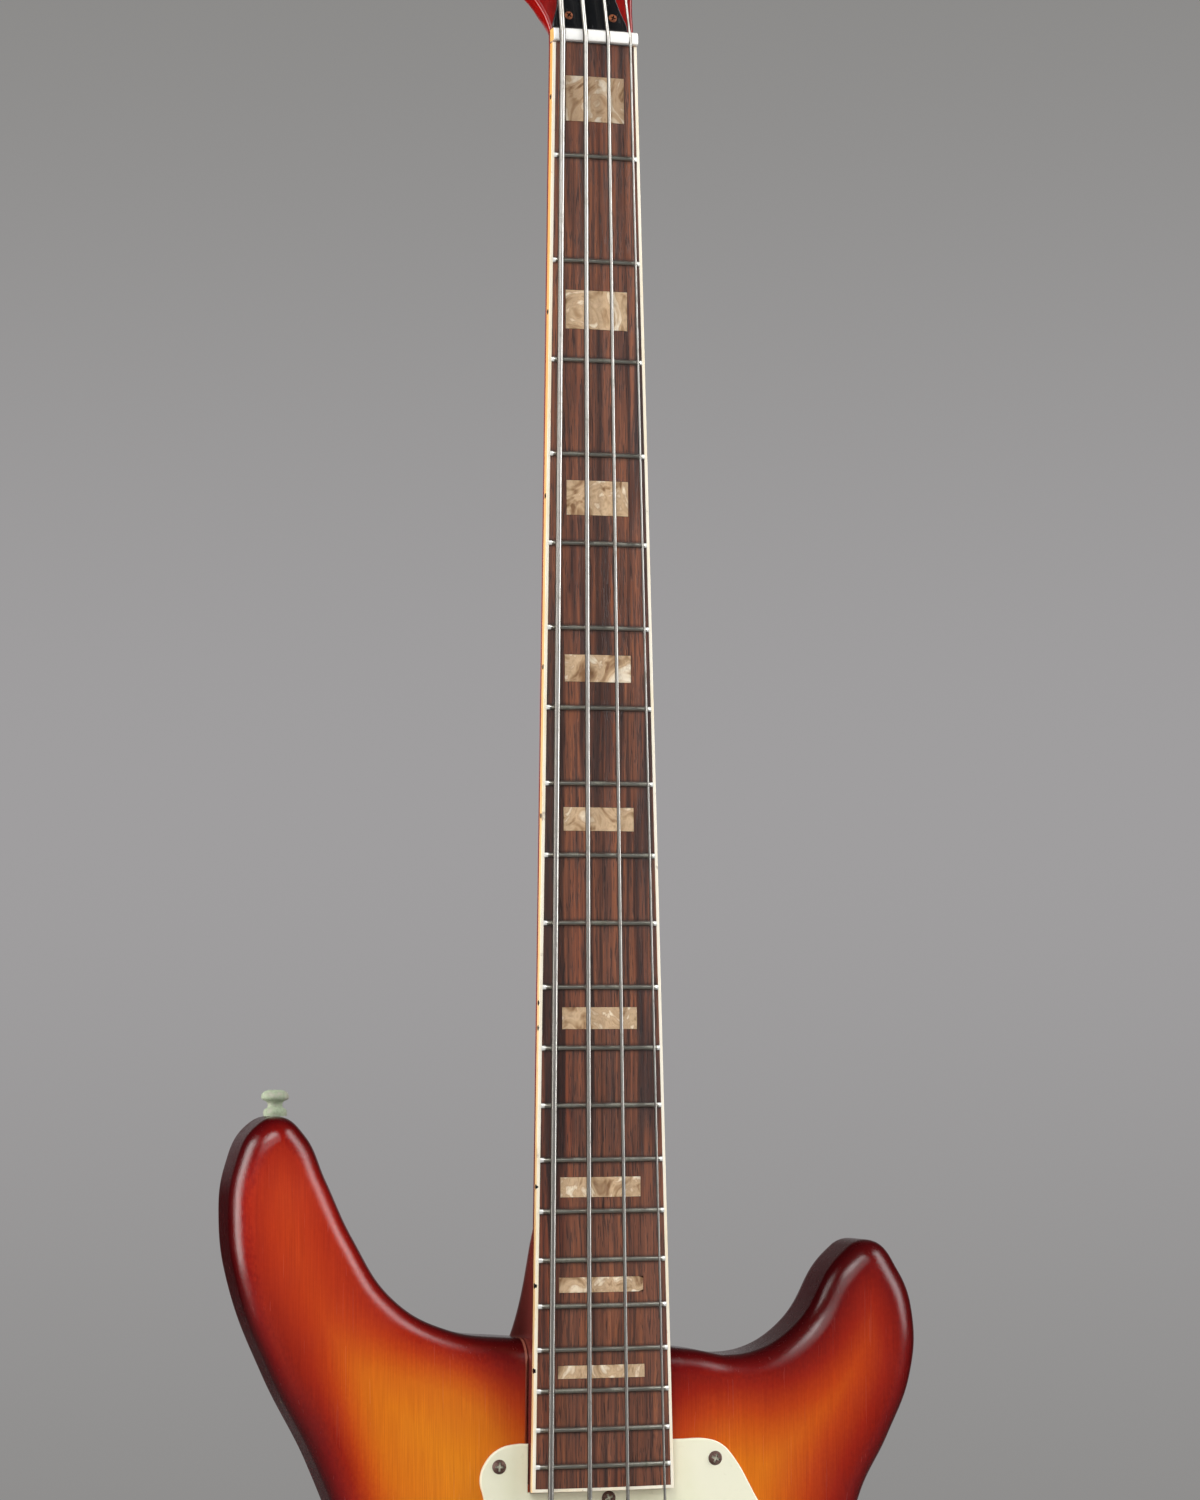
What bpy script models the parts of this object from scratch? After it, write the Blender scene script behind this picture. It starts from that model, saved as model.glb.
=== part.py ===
"""Electric bass guitar with a 34 inch scale, standing upright with its face towards -Y.

Metres, +Z up the neck. The origin is on the centre line, at the edge of the nut where the
scale starts, and in the plane of the body's front face. Most pieces are modelled in a flat
frame that lies on that face: a runs to the viewer's right, b up the neck and c out of the face.
"""
import math

import bmesh
import bpy
from mathutils import Matrix, Vector

GAP = 0.0003             # clearance between pieces that touch
REACH = 0.002            # how far a cutter runs past the surface that it opens

# Scale, fingerboard and frets
SCALE = 0.864
FRETS = 21
BOARD_PAST_LAST_FRET = 0.0105
NUT_WIDTH = 0.0379
BOARD_END_WIDTH = 0.0622
BOARD_RADIUS = 0.237
BOARD_THICKNESS = 0.005
BINDING_WIDTH = 0.0014
FRET_WIDTH = 0.002
FRET_HEIGHT = 0.001

# Neck and truss rod
NECK_RISE = 0.0051       # the fingerboard's seat above the body's face
NECK_DEPTH_NUT = 0.016
NECK_DEPTH_HEEL = 0.0195
HEEL_START = -0.508      # b where the neck starts to deepen into its heel
BODY_SHOULDER = -0.5527  # b of the flat where the heel meets the body
TENON_DEPTH = 0.0295
TENON_PAST_BOARD = 0.027
NECK_STEP = 0.0002       # joined shapes of the neck stand back this much from each other
JOIN_DEPTH = 0.004       # how far joined shapes reach into each other
TRUSS_ROD_RADIUS = 0.0025
TRUSS_ROD_DROP = 0.0068  # the rod's axis below the fingerboard's seat
TRUSS_ROD_END = -0.545
TRUSS_NUT_RADIUS = 0.004
TRUSS_NUT_LENGTH = 0.011
TRUSS_STRIP_THICKNESS = 0.003

# Nut and headstock
NUT_START = 0.0014       # the nut's front edge, just behind the zero of the frets
NUT_LENGTH = 0.006
NUT_END = NUT_START + NUT_LENGTH
NUT_RISE = 0.0124        # the crown of the nut above the body's face
HEAD_TILT = math.radians(10)
HEAD_THICKNESS = 0.015
HEAD_EDGE = 0.0015
COVER_THICKNESS = 0.0016

# Body
BODY_THICKNESS = 0.044
BODY_EDGE = 0.012
CONTROL_DEPTH = 0.036
PICKUP_CAVITY_DEPTH = 0.016
CHANNEL_DEPTH = 0.013

# Strings, numbered from the thickest
STRING_RADII = (0.00133, 0.00108, 0.00083, 0.00057)
STRING_SPREAD_NUT = 0.0306
STRING_SPREAD_BRIDGE = 0.0576
STRING_OVER_FIRST = 0.00045  # string's underside over the fret tops, at the nut
STRING_ACTION = 0.003        # and at the twelfth fret
STRING_SIDES_RESOLUTION = 2
BALL_RADIUS = 0.0026
BALL_LENGTH = 0.003

# Bridge
BRIDGE_WIDTH = 0.086
BRIDGE_FRONT = 0.022     # plate in front of the saddles' crowns
BRIDGE_BACK = 0.038      # and behind them
BRIDGE_PLATE = 0.0025
BRIDGE_WALL = 0.003
BRIDGE_WALL_RISE = 0.0148
STRING_HOLE_RISE = 0.0113
SADDLE_SCREW_RISE = 0.006
SADDLE_SCREW_RADIUS = 0.0015
SADDLE_SCREW_HEAD = 0.0022
SADDLE_WIDTH = 0.016
SADDLE_FRONT = 0.005
SADDLE_BACK = 0.007

# Tuners
TUNER_COUNT = 4
FIRST_POST = (-0.0246, 0.045)
POST_STEP = (0.0073, 0.042)
POST_RADIUS = 0.006
POST_SHAFT_RADIUS = 0.0045
POST_HEIGHT = 0.0175
WIND_HEIGHT = 0.0115
WIND_TURNS = 2.3
WIND_STEPS = 10
FERRULE_RADIUS = 0.009
FERRULE_SLEEVE_RADIUS = 0.0062
FERRULE_THICKNESS = 0.0015
TUNER_PLATE_THICKNESS = 0.0015
GEAR_RADIUS = 0.0085
GEAR_THICKNESS = 0.005
WORM_RADIUS = 0.0036
WORM_LENGTH = 0.0135
KEY_SHAFT_RADIUS = 0.0022
KEY_REACH = 0.024        # from the post's axis to the button
BUTTON_LENGTH = 0.021
BUTTON_WIDTH = 0.025
BUTTON_THICKNESS = 0.005

# Pickguard and what it carries
GUARD_THICKNESS = 0.0025
PICKUP_WIDTH = 0.09
PICKUP_LENGTH = 0.036
PICKUP_RISE = 0.011
PICKUP_WALL = 0.001
PICKUP_SKIRT = 0.006     # the cover's depth below the body's face
PICKUP_CORNER = 0.004
NECK_PICKUP_AT = -0.692
BRIDGE_PICKUP_AT = -0.802
VOLUME_AT = (0.092, -0.778)
TONE_AT = (0.095, -0.828)
SELECTOR_AT = (0.076, -0.722)
KNOB_RADIUS = 0.0108
KNOB_HEIGHT = 0.015
POT_RADIUS = 0.012
POT_DEPTH = 0.010
BUSHING_RADIUS = 0.0042
SHAFT_RADIUS = 0.003
SELECTOR_RADIUS = 0.0085
SELECTOR_DEPTH = 0.024
SELECTOR_BUSHING = 0.006
SELECTOR_BORE = 0.0037
LEVER_RADIUS = 0.0016
LEVER_HEIGHT = 0.021

# Output jack and strap buttons
JACK_SEAT = (0.167, -0.850)
JACK_PLATE = (0.026, 0.036)
JACK_PLATE_THICKNESS = 0.002
JACK_BORE = 0.0033
JACK_SLEEVE = 0.0047
JACK_LENGTH = 0.022
JACK_HOLE_RADIUS = 0.007
JACK_HOLE_DEPTH = 0.059  # from the rim through to the controls' rout
HORN_BUTTON_AT = (-0.1344, -0.4602)
TAIL_BUTTON_AT = (0.0, -0.9514)
BUTTON_NECK_RADIUS = 0.003
BUTTON_HEAD_RADIUS = 0.0059
BUTTON_FLANGE_RADIUS = 0.00505
BUTTON_HEIGHT = 0.0114
BUTTON_SCREW_RADIUS = 0.002
BUTTON_SCREW_LENGTH = 0.024
LEAD_RADIUS = 0.0014

# The body's outline (a, b), from the shoulder beside the neck round the bass side
BODY_OUTLINE = (
    (0.0, -0.5552), (-0.0350, -0.5542), (-0.0631, -0.5501), (-0.0862, -0.5370),
    (-0.1034, -0.5117), (-0.1153, -0.4865), (-0.1243, -0.4676), (-0.1344, -0.4600),
    (-0.1449, -0.4638), (-0.1538, -0.4804), (-0.1564, -0.5030), (-0.1524, -0.5309),
    (-0.1378, -0.5689), (-0.1184, -0.6072), (-0.1050, -0.6460), (-0.1020, -0.6850),
    (-0.1160, -0.7350), (-0.1440, -0.7830), (-0.1620, -0.8330), (-0.1570, -0.8880),
    (-0.1180, -0.9330), (-0.0600, -0.9490), (0.0, -0.9520), (0.0640, -0.9510),
    (0.1220, -0.9380), (0.1600, -0.9000), (0.1700, -0.8500), (0.1610, -0.7960),
    (0.1360, -0.7430), (0.1150, -0.7020), (0.1118, -0.6660), (0.1206, -0.6251),
    (0.1338, -0.5999), (0.1444, -0.5743), (0.1460, -0.5480), (0.1394, -0.5286),
    (0.1270, -0.5157), (0.1117, -0.5229), (0.0956, -0.5488), (0.0712, -0.5633),
    (0.0437, -0.5607),
)

# The headstock's outline (a, b) in its own tilted plane, from the nut up the bass side
HEAD_OUTLINE = (
    (-0.0190, 0.0, "corner"), (-0.0197, 0.0031), (-0.0216, 0.0082), (-0.0258, 0.0150),
    (-0.0345, 0.0240), (-0.0412, 0.0360), (-0.0408, 0.0560), (-0.0310, 0.1140),
    (-0.0216, 0.1700), (-0.0160, 0.1900), (-0.0020, 0.2040), (0.0130, 0.2020),
    (0.0215, 0.1860), (0.0225, 0.1600), (0.0215, 0.1200), (0.0235, 0.0800),
    (0.0225, 0.0440), (0.0195, 0.0180), (0.0190, 0.0, "corner"),
)

# The truss rod cover's outline (a, b), in the headstock's plane
COVER_OUTLINE = (
    (-0.0182, 0.0008, "corner"), (-0.0179, 0.0031), (-0.0166, 0.0075), (-0.0156, 0.0120),
    (-0.0153, 0.0180), (-0.0165, 0.0270), (-0.0160, 0.0370), (-0.0105, 0.0460),
    (-0.0050, 0.0490), (0.0005, 0.0465), (0.0065, 0.0380), (0.0085, 0.0270),
    (0.0104, 0.0180), (0.0121, 0.0120), (0.0138, 0.0073), (0.0154, 0.0034),
    (0.0157, 0.0008, "corner"),
)

# The pickguard's outline (a, b), from its bass-side lobe down to the bridge and round the
# controls; the stretch beside the neck is worked out from the neck's width
GUARD_TOP = -0.5978
GUARD_OUTLINE = (
    (-0.0356, -0.5977), (-0.0435, -0.5995), (-0.0491, -0.6043), (-0.0520, -0.6116),
    (-0.0504, -0.6204), (-0.0480, -0.6400), (-0.0495, -0.6900), (-0.0515, -0.7500),
    (-0.0505, -0.8100), (-0.0470, -0.8350), (-0.0400, -0.8395), (0.0400, -0.8395),
    (0.0520, -0.8440), (0.0680, -0.8600), (0.0900, -0.8680), (0.1120, -0.8600),
    (0.1235, -0.8360), (0.1225, -0.8020), (0.1120, -0.7600), (0.0990, -0.7150),
    (0.0925, -0.6750), (0.0828, -0.6455), (0.0704, -0.6246), (0.0583, -0.6042),
    (0.0543, -0.6004), (0.0490, -0.5982), (0.0360, -0.5977),
)

# Cavities under the pickguard (a, b): the controls' rout, and the channels that join the
# pickups' cavities to it, each by its two far corners
CONTROL_OUTLINE = (
    (0.058, -0.742), (0.066, -0.800), (0.068, -0.846), (0.092, -0.854), (0.112, -0.848),
    (0.116, -0.820), (0.108, -0.772), (0.092, -0.704), (0.078, -0.692), (0.062, -0.696),
)
BRIDGE_CHANNEL = ((0.043, -0.806), (0.070, -0.793))
NECK_CHANNEL = ((0.043, -0.705), (0.066, -0.694))

# Stretches of the leads between their ends (a, b, c)
BRIDGE_LEAD_ROUTE = ((0.068, -0.795, -0.010), (0.078, -0.792, -0.0135), (0.086, -0.786, -0.0135))
NECK_LEAD_ROUTE = ((0.0620, -0.6985, -0.0095), (0.0665, -0.708, -0.012),
                   (0.0645, -0.730, -0.016), (0.070, -0.755, -0.018), (0.080, -0.770, -0.015))
OUTPUT_LEAD_ROUTE = ((0.112, -0.846, -0.019), (0.104, -0.838, -0.015))

BOARD_LENGTH = SCALE * (1 - 2 ** (-FRETS / 12)) + BOARD_PAST_LAST_FRET
BOARD_SEAT = NECK_RISE + GAP
BOARD_RISE = NECK_RISE + BOARD_THICKNESS
GUARD_SEAT = GAP
GUARD_RISE = GUARD_SEAT + GUARD_THICKNESS
BRIDGE_RISE = GAP + BRIDGE_PLATE
TENON_END = -(BOARD_LENGTH + TENON_PAST_BOARD)
TRUSS_ROD_RISE = NECK_RISE - TRUSS_ROD_DROP
BODY_MIDDLE = -BODY_THICKNESS / 2
WORM_AT = (-(GEAR_RADIUS + WORM_RADIUS + GAP),
           -(HEAD_THICKNESS + TUNER_PLATE_THICKNESS + 2 * GAP + WORM_RADIUS))


def fret_at(number):
    """b of a fret, or of the nut's edge for number 0."""
    return -SCALE * (1 - 2 ** (-number / 12))


def board_width(b):
    """Width of the neck and the fingerboard at b."""
    share = min(max(-b / BOARD_LENGTH, 0), 1.1)
    return NUT_WIDTH + (BOARD_END_WIDTH - NUT_WIDTH) * share


def board_sag(a):
    """How far the cambered fingerboard falls at a, from its centre line."""
    return BOARD_RADIUS - math.sqrt(BOARD_RADIUS ** 2 - a ** 2)


def string_a(index, spread):
    """a of a string where the outer strings are spread apart."""
    return spread * (index / (TUNER_COUNT - 1) - 0.5)


def string_rise_nut(index):
    """c of a string's axis over the nut."""
    sag = board_sag(string_a(index, STRING_SPREAD_NUT))
    return BOARD_RISE + FRET_HEIGHT + STRING_OVER_FIRST - sag + STRING_RADII[index]


def string_rise_bridge(index):
    """c of a string's axis over its saddle, for the action at the twelfth fret."""
    middle = (STRING_SPREAD_NUT + STRING_SPREAD_BRIDGE) / 2
    twelfth = BOARD_RISE + FRET_HEIGHT + STRING_ACTION - board_sag(string_a(index, middle))
    return 2 * (twelfth + STRING_RADII[index]) - string_rise_nut(index)


def clear_scene():
    for item in list(bpy.data.objects):
        bpy.data.objects.remove(item, do_unlink=True)
    for group in list(bpy.data.collections):
        bpy.data.collections.remove(group)


def make_collection(name):
    group = bpy.data.collections.new(name)
    bpy.context.scene.collection.children.link(group)
    return group


clear_scene()
PARTS = make_collection("electric_bass_guitar")
CUTTERS = make_collection("cutters")


def make_frame(name, matrix):
    """An empty whose axes are the a, b and c of the pieces placed in it."""
    empty = bpy.data.objects.new(name, None)
    empty.empty_display_size = 0.01
    PARTS.objects.link(empty)
    empty.matrix_world = matrix
    return empty


FACE_MATRIX = Matrix(((1, 0, 0, 0), (0, 0, -1, 0), (0, 1, 0, 0), (0, 0, 0, 1)))
HEAD_MATRIX = (FACE_MATRIX @ Matrix.Translation((0, NUT_END, NECK_RISE))
               @ Matrix.Rotation(-HEAD_TILT, 4, "X"))
JACK_MATRIX = Matrix(((0, 0, 1, JACK_SEAT[0]), (1, 0, 0, -BODY_MIDDLE),
                      (0, 1, 0, JACK_SEAT[1]), (0, 0, 0, 1)))
FACE = make_frame("face_frame", FACE_MATRIX)
HEAD = make_frame("headstock_frame", HEAD_MATRIX)
JACK = make_frame("jack_frame", JACK_MATRIX)


def post_at(index):
    """(a, b) of a tuner's post in the headstock's plane."""
    return (FIRST_POST[0] + POST_STEP[0] * index, FIRST_POST[1] + POST_STEP[1] * index)


def tuner_matrix(index):
    """A tuner's frame: its origin on the post's axis, its b along the row of posts."""
    turn = math.atan2(POST_STEP[0], POST_STEP[1])
    return (HEAD_MATRIX @ Matrix.Translation((*post_at(index), 0))
            @ Matrix.Rotation(-turn, 4, "Z"))


TUNERS = [make_frame(f"tuner_frame_{i + 1}", tuner_matrix(i)) for i in range(TUNER_COUNT)]


def make_material(name, color, roughness, metallic=0.0):
    material = bpy.data.materials.new(name)
    material.use_nodes = True
    shader = material.node_tree.nodes["Principled BSDF"]
    shader.inputs["Base Color"].default_value = (*color, 1)
    shader.inputs["Roughness"].default_value = roughness
    shader.inputs["Metallic"].default_value = metallic
    material.diffuse_color = (*color, 1)
    return material


SUNBURST = make_material("sunburst_lacquer", (0.45, 0.09, 0.02), 0.25)
CHERRY = make_material("cherry_lacquer", (0.22, 0.02, 0.015), 0.3)
ROSEWOOD = make_material("rosewood", (0.09, 0.035, 0.022), 0.45)
MAPLE = make_material("maple", (0.55, 0.36, 0.18), 0.5)
IVORY = make_material("ivory_plastic", (0.80, 0.78, 0.62), 0.35)
BONE = make_material("bone", (0.82, 0.80, 0.72), 0.4)
BLACK = make_material("black_plastic", (0.012, 0.012, 0.013), 0.3)
CHROME = make_material("chrome", (0.62, 0.62, 0.60), 0.18, 1.0)
STEEL = make_material("steel", (0.42, 0.42, 0.40), 0.35, 1.0)
BRASS = make_material("aged_brass", (0.28, 0.34, 0.24), 0.5, 0.8)
COPPER = make_material("copper_winding", (0.20, 0.05, 0.03), 0.4, 0.5)
CLOTH = make_material("waxed_cloth", (0.05, 0.045, 0.04), 0.8)


def add_object(name, mesh, frame, at=(0, 0, 0)):
    """Place a mesh in a frame as an object of the instrument."""
    item = bpy.data.objects.new(name, mesh)
    PARTS.objects.link(item)
    item.parent = frame
    item.location = at
    return item


def close_mesh(mesh):
    """Weld a mesh's loose caps and turn its faces outwards."""
    work = bmesh.new()
    work.from_mesh(mesh)
    bmesh.ops.remove_doubles(work, verts=work.verts, dist=1e-6)
    bmesh.ops.recalc_face_normals(work, faces=work.faces)
    if work.calc_volume(signed=True) < 0:
        bmesh.ops.reverse_faces(work, faces=work.faces)
    work.to_mesh(mesh)
    work.free()
    return mesh


def evaluated_mesh(item):
    """A plain closed mesh from a curve or a modified object, which is removed."""
    bpy.context.scene.collection.objects.link(item)
    graph = bpy.context.evaluated_depsgraph_get()
    mesh = bpy.data.meshes.new_from_object(item.evaluated_get(graph))
    bpy.data.objects.remove(item, do_unlink=True)
    return close_mesh(mesh)


def add_spline(curve, outline, smooth):
    """One closed spline through (a, b) points; a point marked corner stays sharp."""
    if not smooth:
        spline = curve.splines.new("POLY")
        spline.points.add(len(outline) - 1)
        for point, place in zip(spline.points, outline):
            point.co = (place[0], place[1], 0, 1)
    else:
        spline = curve.splines.new("BEZIER")
        spline.bezier_points.add(len(outline) - 1)
        for point, place in zip(spline.bezier_points, outline):
            point.co = (place[0], place[1], 0)
            kind = "VECTOR" if len(place) > 2 else "AUTO"
            point.handle_left_type = kind
            point.handle_right_type = kind
    spline.use_cyclic_u = True


def slab(name, outline, low, high, frame, holes=(), edge=0.0, edge_steps=0, smooth=False,
         steps=4, at=(0, 0, 0)):
    """A flat outline with holes, thick from c = low to c = high, with rounded edges."""
    curve = bpy.data.curves.new(name, "CURVE")
    curve.dimensions = "2D"
    curve.fill_mode = "BOTH"
    curve.resolution_u = steps
    curve.extrude = (high - low) / 2 - edge
    curve.bevel_depth = edge
    curve.bevel_resolution = edge_steps
    curve.offset = -edge
    add_spline(curve, outline, smooth)
    for hole in holes:
        add_spline(curve, hole, False)
    mesh = evaluated_mesh(bpy.data.objects.new(name, curve))
    mesh.transform(Matrix.Translation((0, 0, (low + high) / 2)))
    return add_object(name, mesh, frame, at)


def box(name, low, high, frame, at=(0, 0, 0)):
    """A block between two corners (a, b, c)."""
    mesh = bpy.data.meshes.new(name)
    work = bmesh.new()
    bmesh.ops.create_cube(work, size=1)
    size = Vector(high) - Vector(low)
    middle = (Vector(high) + Vector(low)) / 2
    bmesh.ops.scale(work, vec=size, verts=work.verts)
    bmesh.ops.translate(work, vec=middle, verts=work.verts)
    work.to_mesh(mesh)
    work.free()
    return add_object(name, mesh, frame, at)


def turned(name, profile, frame, at=(0, 0, 0), steps=16, along="c"):
    """A profile of (radius, height) points turned about the c axis, or about a or b."""
    mesh = bpy.data.meshes.new(name)
    points = [(radius, 0, height) for radius, height in profile]
    mesh.from_pydata(points, [(i, i + 1) for i in range(len(points) - 1)], [])
    item = bpy.data.objects.new(name, mesh)
    screw = item.modifiers.new("turn", "SCREW")
    screw.axis = "Z"
    screw.steps = steps
    screw.render_steps = steps
    screw.use_merge_vertices = True
    screw.merge_threshold = 1e-6
    result = evaluated_mesh(item)
    turn = {"c": Matrix.Identity(4), "a": Matrix.Rotation(math.pi / 2, 4, "Y"),
            "b": Matrix.Rotation(-math.pi / 2, 4, "X")}[along]
    result.transform(turn)
    result.shade_smooth()
    result.set_sharp_from_angle(angle=math.radians(35))
    return add_object(name, result, frame, at)


def rod(name, radius, low, high, frame, at=(0, 0, 0), steps=16, along="c"):
    """A plain cylinder from low to high along one axis of its frame."""
    profile = ((0, high), (radius, high), (radius, low), (0, low))
    return turned(name, profile, frame, at, steps, along)


def tube(name, points, radius, frame, scales=None):
    """A wire through points, as thick as radius times each point's scale."""
    curve = bpy.data.curves.new(name, "CURVE")
    curve.dimensions = "3D"
    curve.bevel_depth = radius
    curve.bevel_resolution = STRING_SIDES_RESOLUTION
    curve.use_fill_caps = True
    spline = curve.splines.new("POLY")
    spline.points.add(len(points) - 1)
    for index, place in enumerate(points):
        spline.points[index].co = (*place, 1)
        spline.points[index].radius = scales[index] if scales else 1.0
    return add_object(name, evaluated_mesh(bpy.data.objects.new(name, curve)), frame)


def loft(name, rings, frame):
    """A closed skin over rings that have the same number of points."""
    mesh = bpy.data.meshes.new(name)
    work = bmesh.new()
    rows = [[work.verts.new(point) for point in ring] for ring in rings]
    count = len(rows[0])
    for first, second in zip(rows, rows[1:]):
        for i in range(count):
            j = (i + 1) % count
            work.faces.new((first[i], first[j], second[j], second[i]))
    work.faces.new(rows[0])
    work.faces.new(rows[-1])
    work.to_mesh(mesh)
    work.free()
    return add_object(name, close_mesh(mesh), frame)


def combine(target, tool, operation, solver="EXACT"):
    """Cut a tool out of a piece, or join it on, and put the tool away."""
    modifier = target.modifiers.new(tool.name, "BOOLEAN")
    modifier.object = tool
    modifier.operation = operation
    modifier.solver = solver
    PARTS.objects.unlink(tool)
    CUTTERS.objects.link(tool)
    tool.hide_render = True
    tool.display_type = "WIRE"


def cut(target, *tools, solver="EXACT"):
    for tool in tools:
        combine(target, tool, "DIFFERENCE", solver)


def join(target, *tools):
    for tool in tools:
        combine(target, tool, "UNION")


def finish(item, material):
    """Give a finished piece its material."""
    item.data.materials.clear()
    item.data.materials.append(material)
    return item


def rounded_box(width, length, radius, steps=3):
    """A rectangle about the origin with round corners, as (a, b) points."""
    points = []
    for quarter in range(4):
        side_a = 1 if quarter in (0, 3) else -1
        side_b = 1 if quarter in (0, 1) else -1
        for step in range(steps + 1):
            angle = math.pi / 2 * (quarter + step / steps)
            points.append((side_a * (width / 2 - radius) + radius * math.cos(angle),
                           side_b * (length / 2 - radius) + radius * math.sin(angle)))
    return points


def circle(radius, at, steps=16):
    """A round hole's outline."""
    return [(at[0] + radius * math.cos(2 * math.pi * i / steps),
             at[1] + radius * math.sin(2 * math.pi * i / steps)) for i in range(steps)]


def shifted(outline, at):
    return [(point[0] + at[0], point[1] + at[1]) for point in outline]


def neck_section(b, top, width, depth, power, points=14):
    """A slice of the neck: flat on top, and rounded or squared below by power."""
    ring = []
    for i in range(points + 1):
        angle = math.pi * i / points
        side = math.copysign(abs(math.cos(angle)) ** (2 / power), math.cos(angle))
        ring.append((width / 2 * side, b, top - depth * math.sin(angle) ** (2 / power)))
    return ring


def neck_outline(clearance, top, bottom):
    """The neck's tapering sides between two heights, as an (a, b) outline."""
    upper = board_width(top) / 2 + clearance
    lower = board_width(bottom) / 2 + clearance
    return [(-upper, top), (-lower, bottom), (lower, bottom), (upper, top)]


def make_neck():
    """One loft from under the headstock to the tenon, with the headstock joined on."""
    behind = NUT_END + 0.014
    drop = (behind - NUT_END) * math.tan(HEAD_TILT) + 0.0006
    rings = [neck_section(behind, NECK_RISE - drop, NUT_WIDTH * 0.9, 0.0105, 2.6),
             neck_section(NUT_END, NECK_RISE - NECK_STEP, NUT_WIDTH, NECK_DEPTH_NUT, 2.4)]
    for share in (0, 0.25, 0.5, 0.75, 1):
        b = HEEL_START * share
        depth = NECK_DEPTH_NUT + (NECK_DEPTH_HEEL - NECK_DEPTH_NUT) * share
        rings.append(neck_section(b, NECK_RISE, board_width(b), depth, 2.4))
    full = NECK_RISE + BODY_THICKNESS
    shoulder = BODY_SHOULDER + GAP
    for share in (0.2, 0.4, 0.6, 0.8, 1):
        b = HEEL_START + (shoulder - HEEL_START) * share
        depth = NECK_DEPTH_HEEL + (full - NECK_DEPTH_HEEL) * share ** 2.2
        rings.append(neck_section(b, NECK_RISE, board_width(b), depth, 2.4 + 9.6 * share))
    neck = loft("neck", rings, FACE)
    block = slab("neck_block", neck_outline(-NECK_STEP, shoulder + JOIN_DEPTH, -BOARD_LENGTH),
                 GAP - TENON_DEPTH, NECK_RISE - NECK_STEP, FACE)
    half = board_width(-BOARD_LENGTH) / 2 - 2 * NECK_STEP
    tenon = box("neck_tenon", (-half, TENON_END + GAP, GAP + NECK_STEP - TENON_DEPTH),
                (half, -BOARD_LENGTH + JOIN_DEPTH, -GAP), FACE)
    join(neck, block, tenon)
    head = slab("headstock", HEAD_OUTLINE, -HEAD_THICKNESS, 0, HEAD, edge=HEAD_EDGE,
                edge_steps=1, smooth=True, steps=3)
    join(neck, head)
    slot = TRUSS_ROD_RADIUS + GAP
    channel = box("truss_channel", (-slot, TRUSS_ROD_END - GAP, TRUSS_ROD_RISE - slot),
                  (slot, NUT_END + 0.012, NECK_RISE + REACH), FACE)
    wide = TRUSS_NUT_RADIUS + 0.001
    pocket = box("truss_pocket", (-wide, NUT_END + 0.001, TRUSS_ROD_RISE - wide),
                 (wide, NUT_END + 0.024, NECK_RISE + 2 * REACH), FACE)
    join(channel, pocket)
    cut(neck, channel, solver="MANIFOLD")
    for i in range(TUNER_COUNT):
        cut(neck, rod(f"post_hole_{i + 1}", FERRULE_SLEEVE_RADIUS + GAP,
                      -HEAD_THICKNESS - REACH, REACH, TUNERS[i]))
    return finish(neck, CHERRY)


def make_truss_rod():
    """The rod in its channel, the strip glued over it, and the nut that tightens it."""
    top = NUT_END + 0.016
    finish(rod("truss_rod", TRUSS_ROD_RADIUS, TRUSS_ROD_END, top, FACE,
               (0, 0, TRUSS_ROD_RISE), 12, "b"), STEEL)
    strip_low = TRUSS_ROD_RISE + TRUSS_ROD_RADIUS + GAP
    strip = box("truss_rod_strip", (-TRUSS_ROD_RADIUS, TRUSS_ROD_END, strip_low),
                (TRUSS_ROD_RADIUS, NUT_START - GAP, strip_low + TRUSS_STRIP_THICKNESS), FACE)
    finish(strip, MAPLE)
    low = NUT_END + 0.003
    inner = (TRUSS_ROD_RADIUS + GAP) / math.cos(math.pi / 6)
    profile = ((inner, low + TRUSS_NUT_LENGTH), (TRUSS_NUT_RADIUS, low + TRUSS_NUT_LENGTH),
               (TRUSS_NUT_RADIUS, low), (inner, low), (inner, low + TRUSS_NUT_LENGTH))
    nut = turned("truss_rod_nut", profile, FACE, (0, 0, TRUSS_ROD_RISE), 6, "b")
    finish(nut, BRASS)


def board_ring(b, lift, stations=4):
    """A slice of the fingerboard, flat below and cambered above; a fret lifts its top."""
    half = board_width(b) / 2 - BINDING_WIDTH - GAP
    ring = [(-half, b, BOARD_SEAT), (half, b, BOARD_SEAT)]
    for i in range(stations + 1):
        a = half * (1 - 2 * i / stations)
        ring.append((a, b, BOARD_RISE - board_sag(a) + lift))
    return ring


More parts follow.
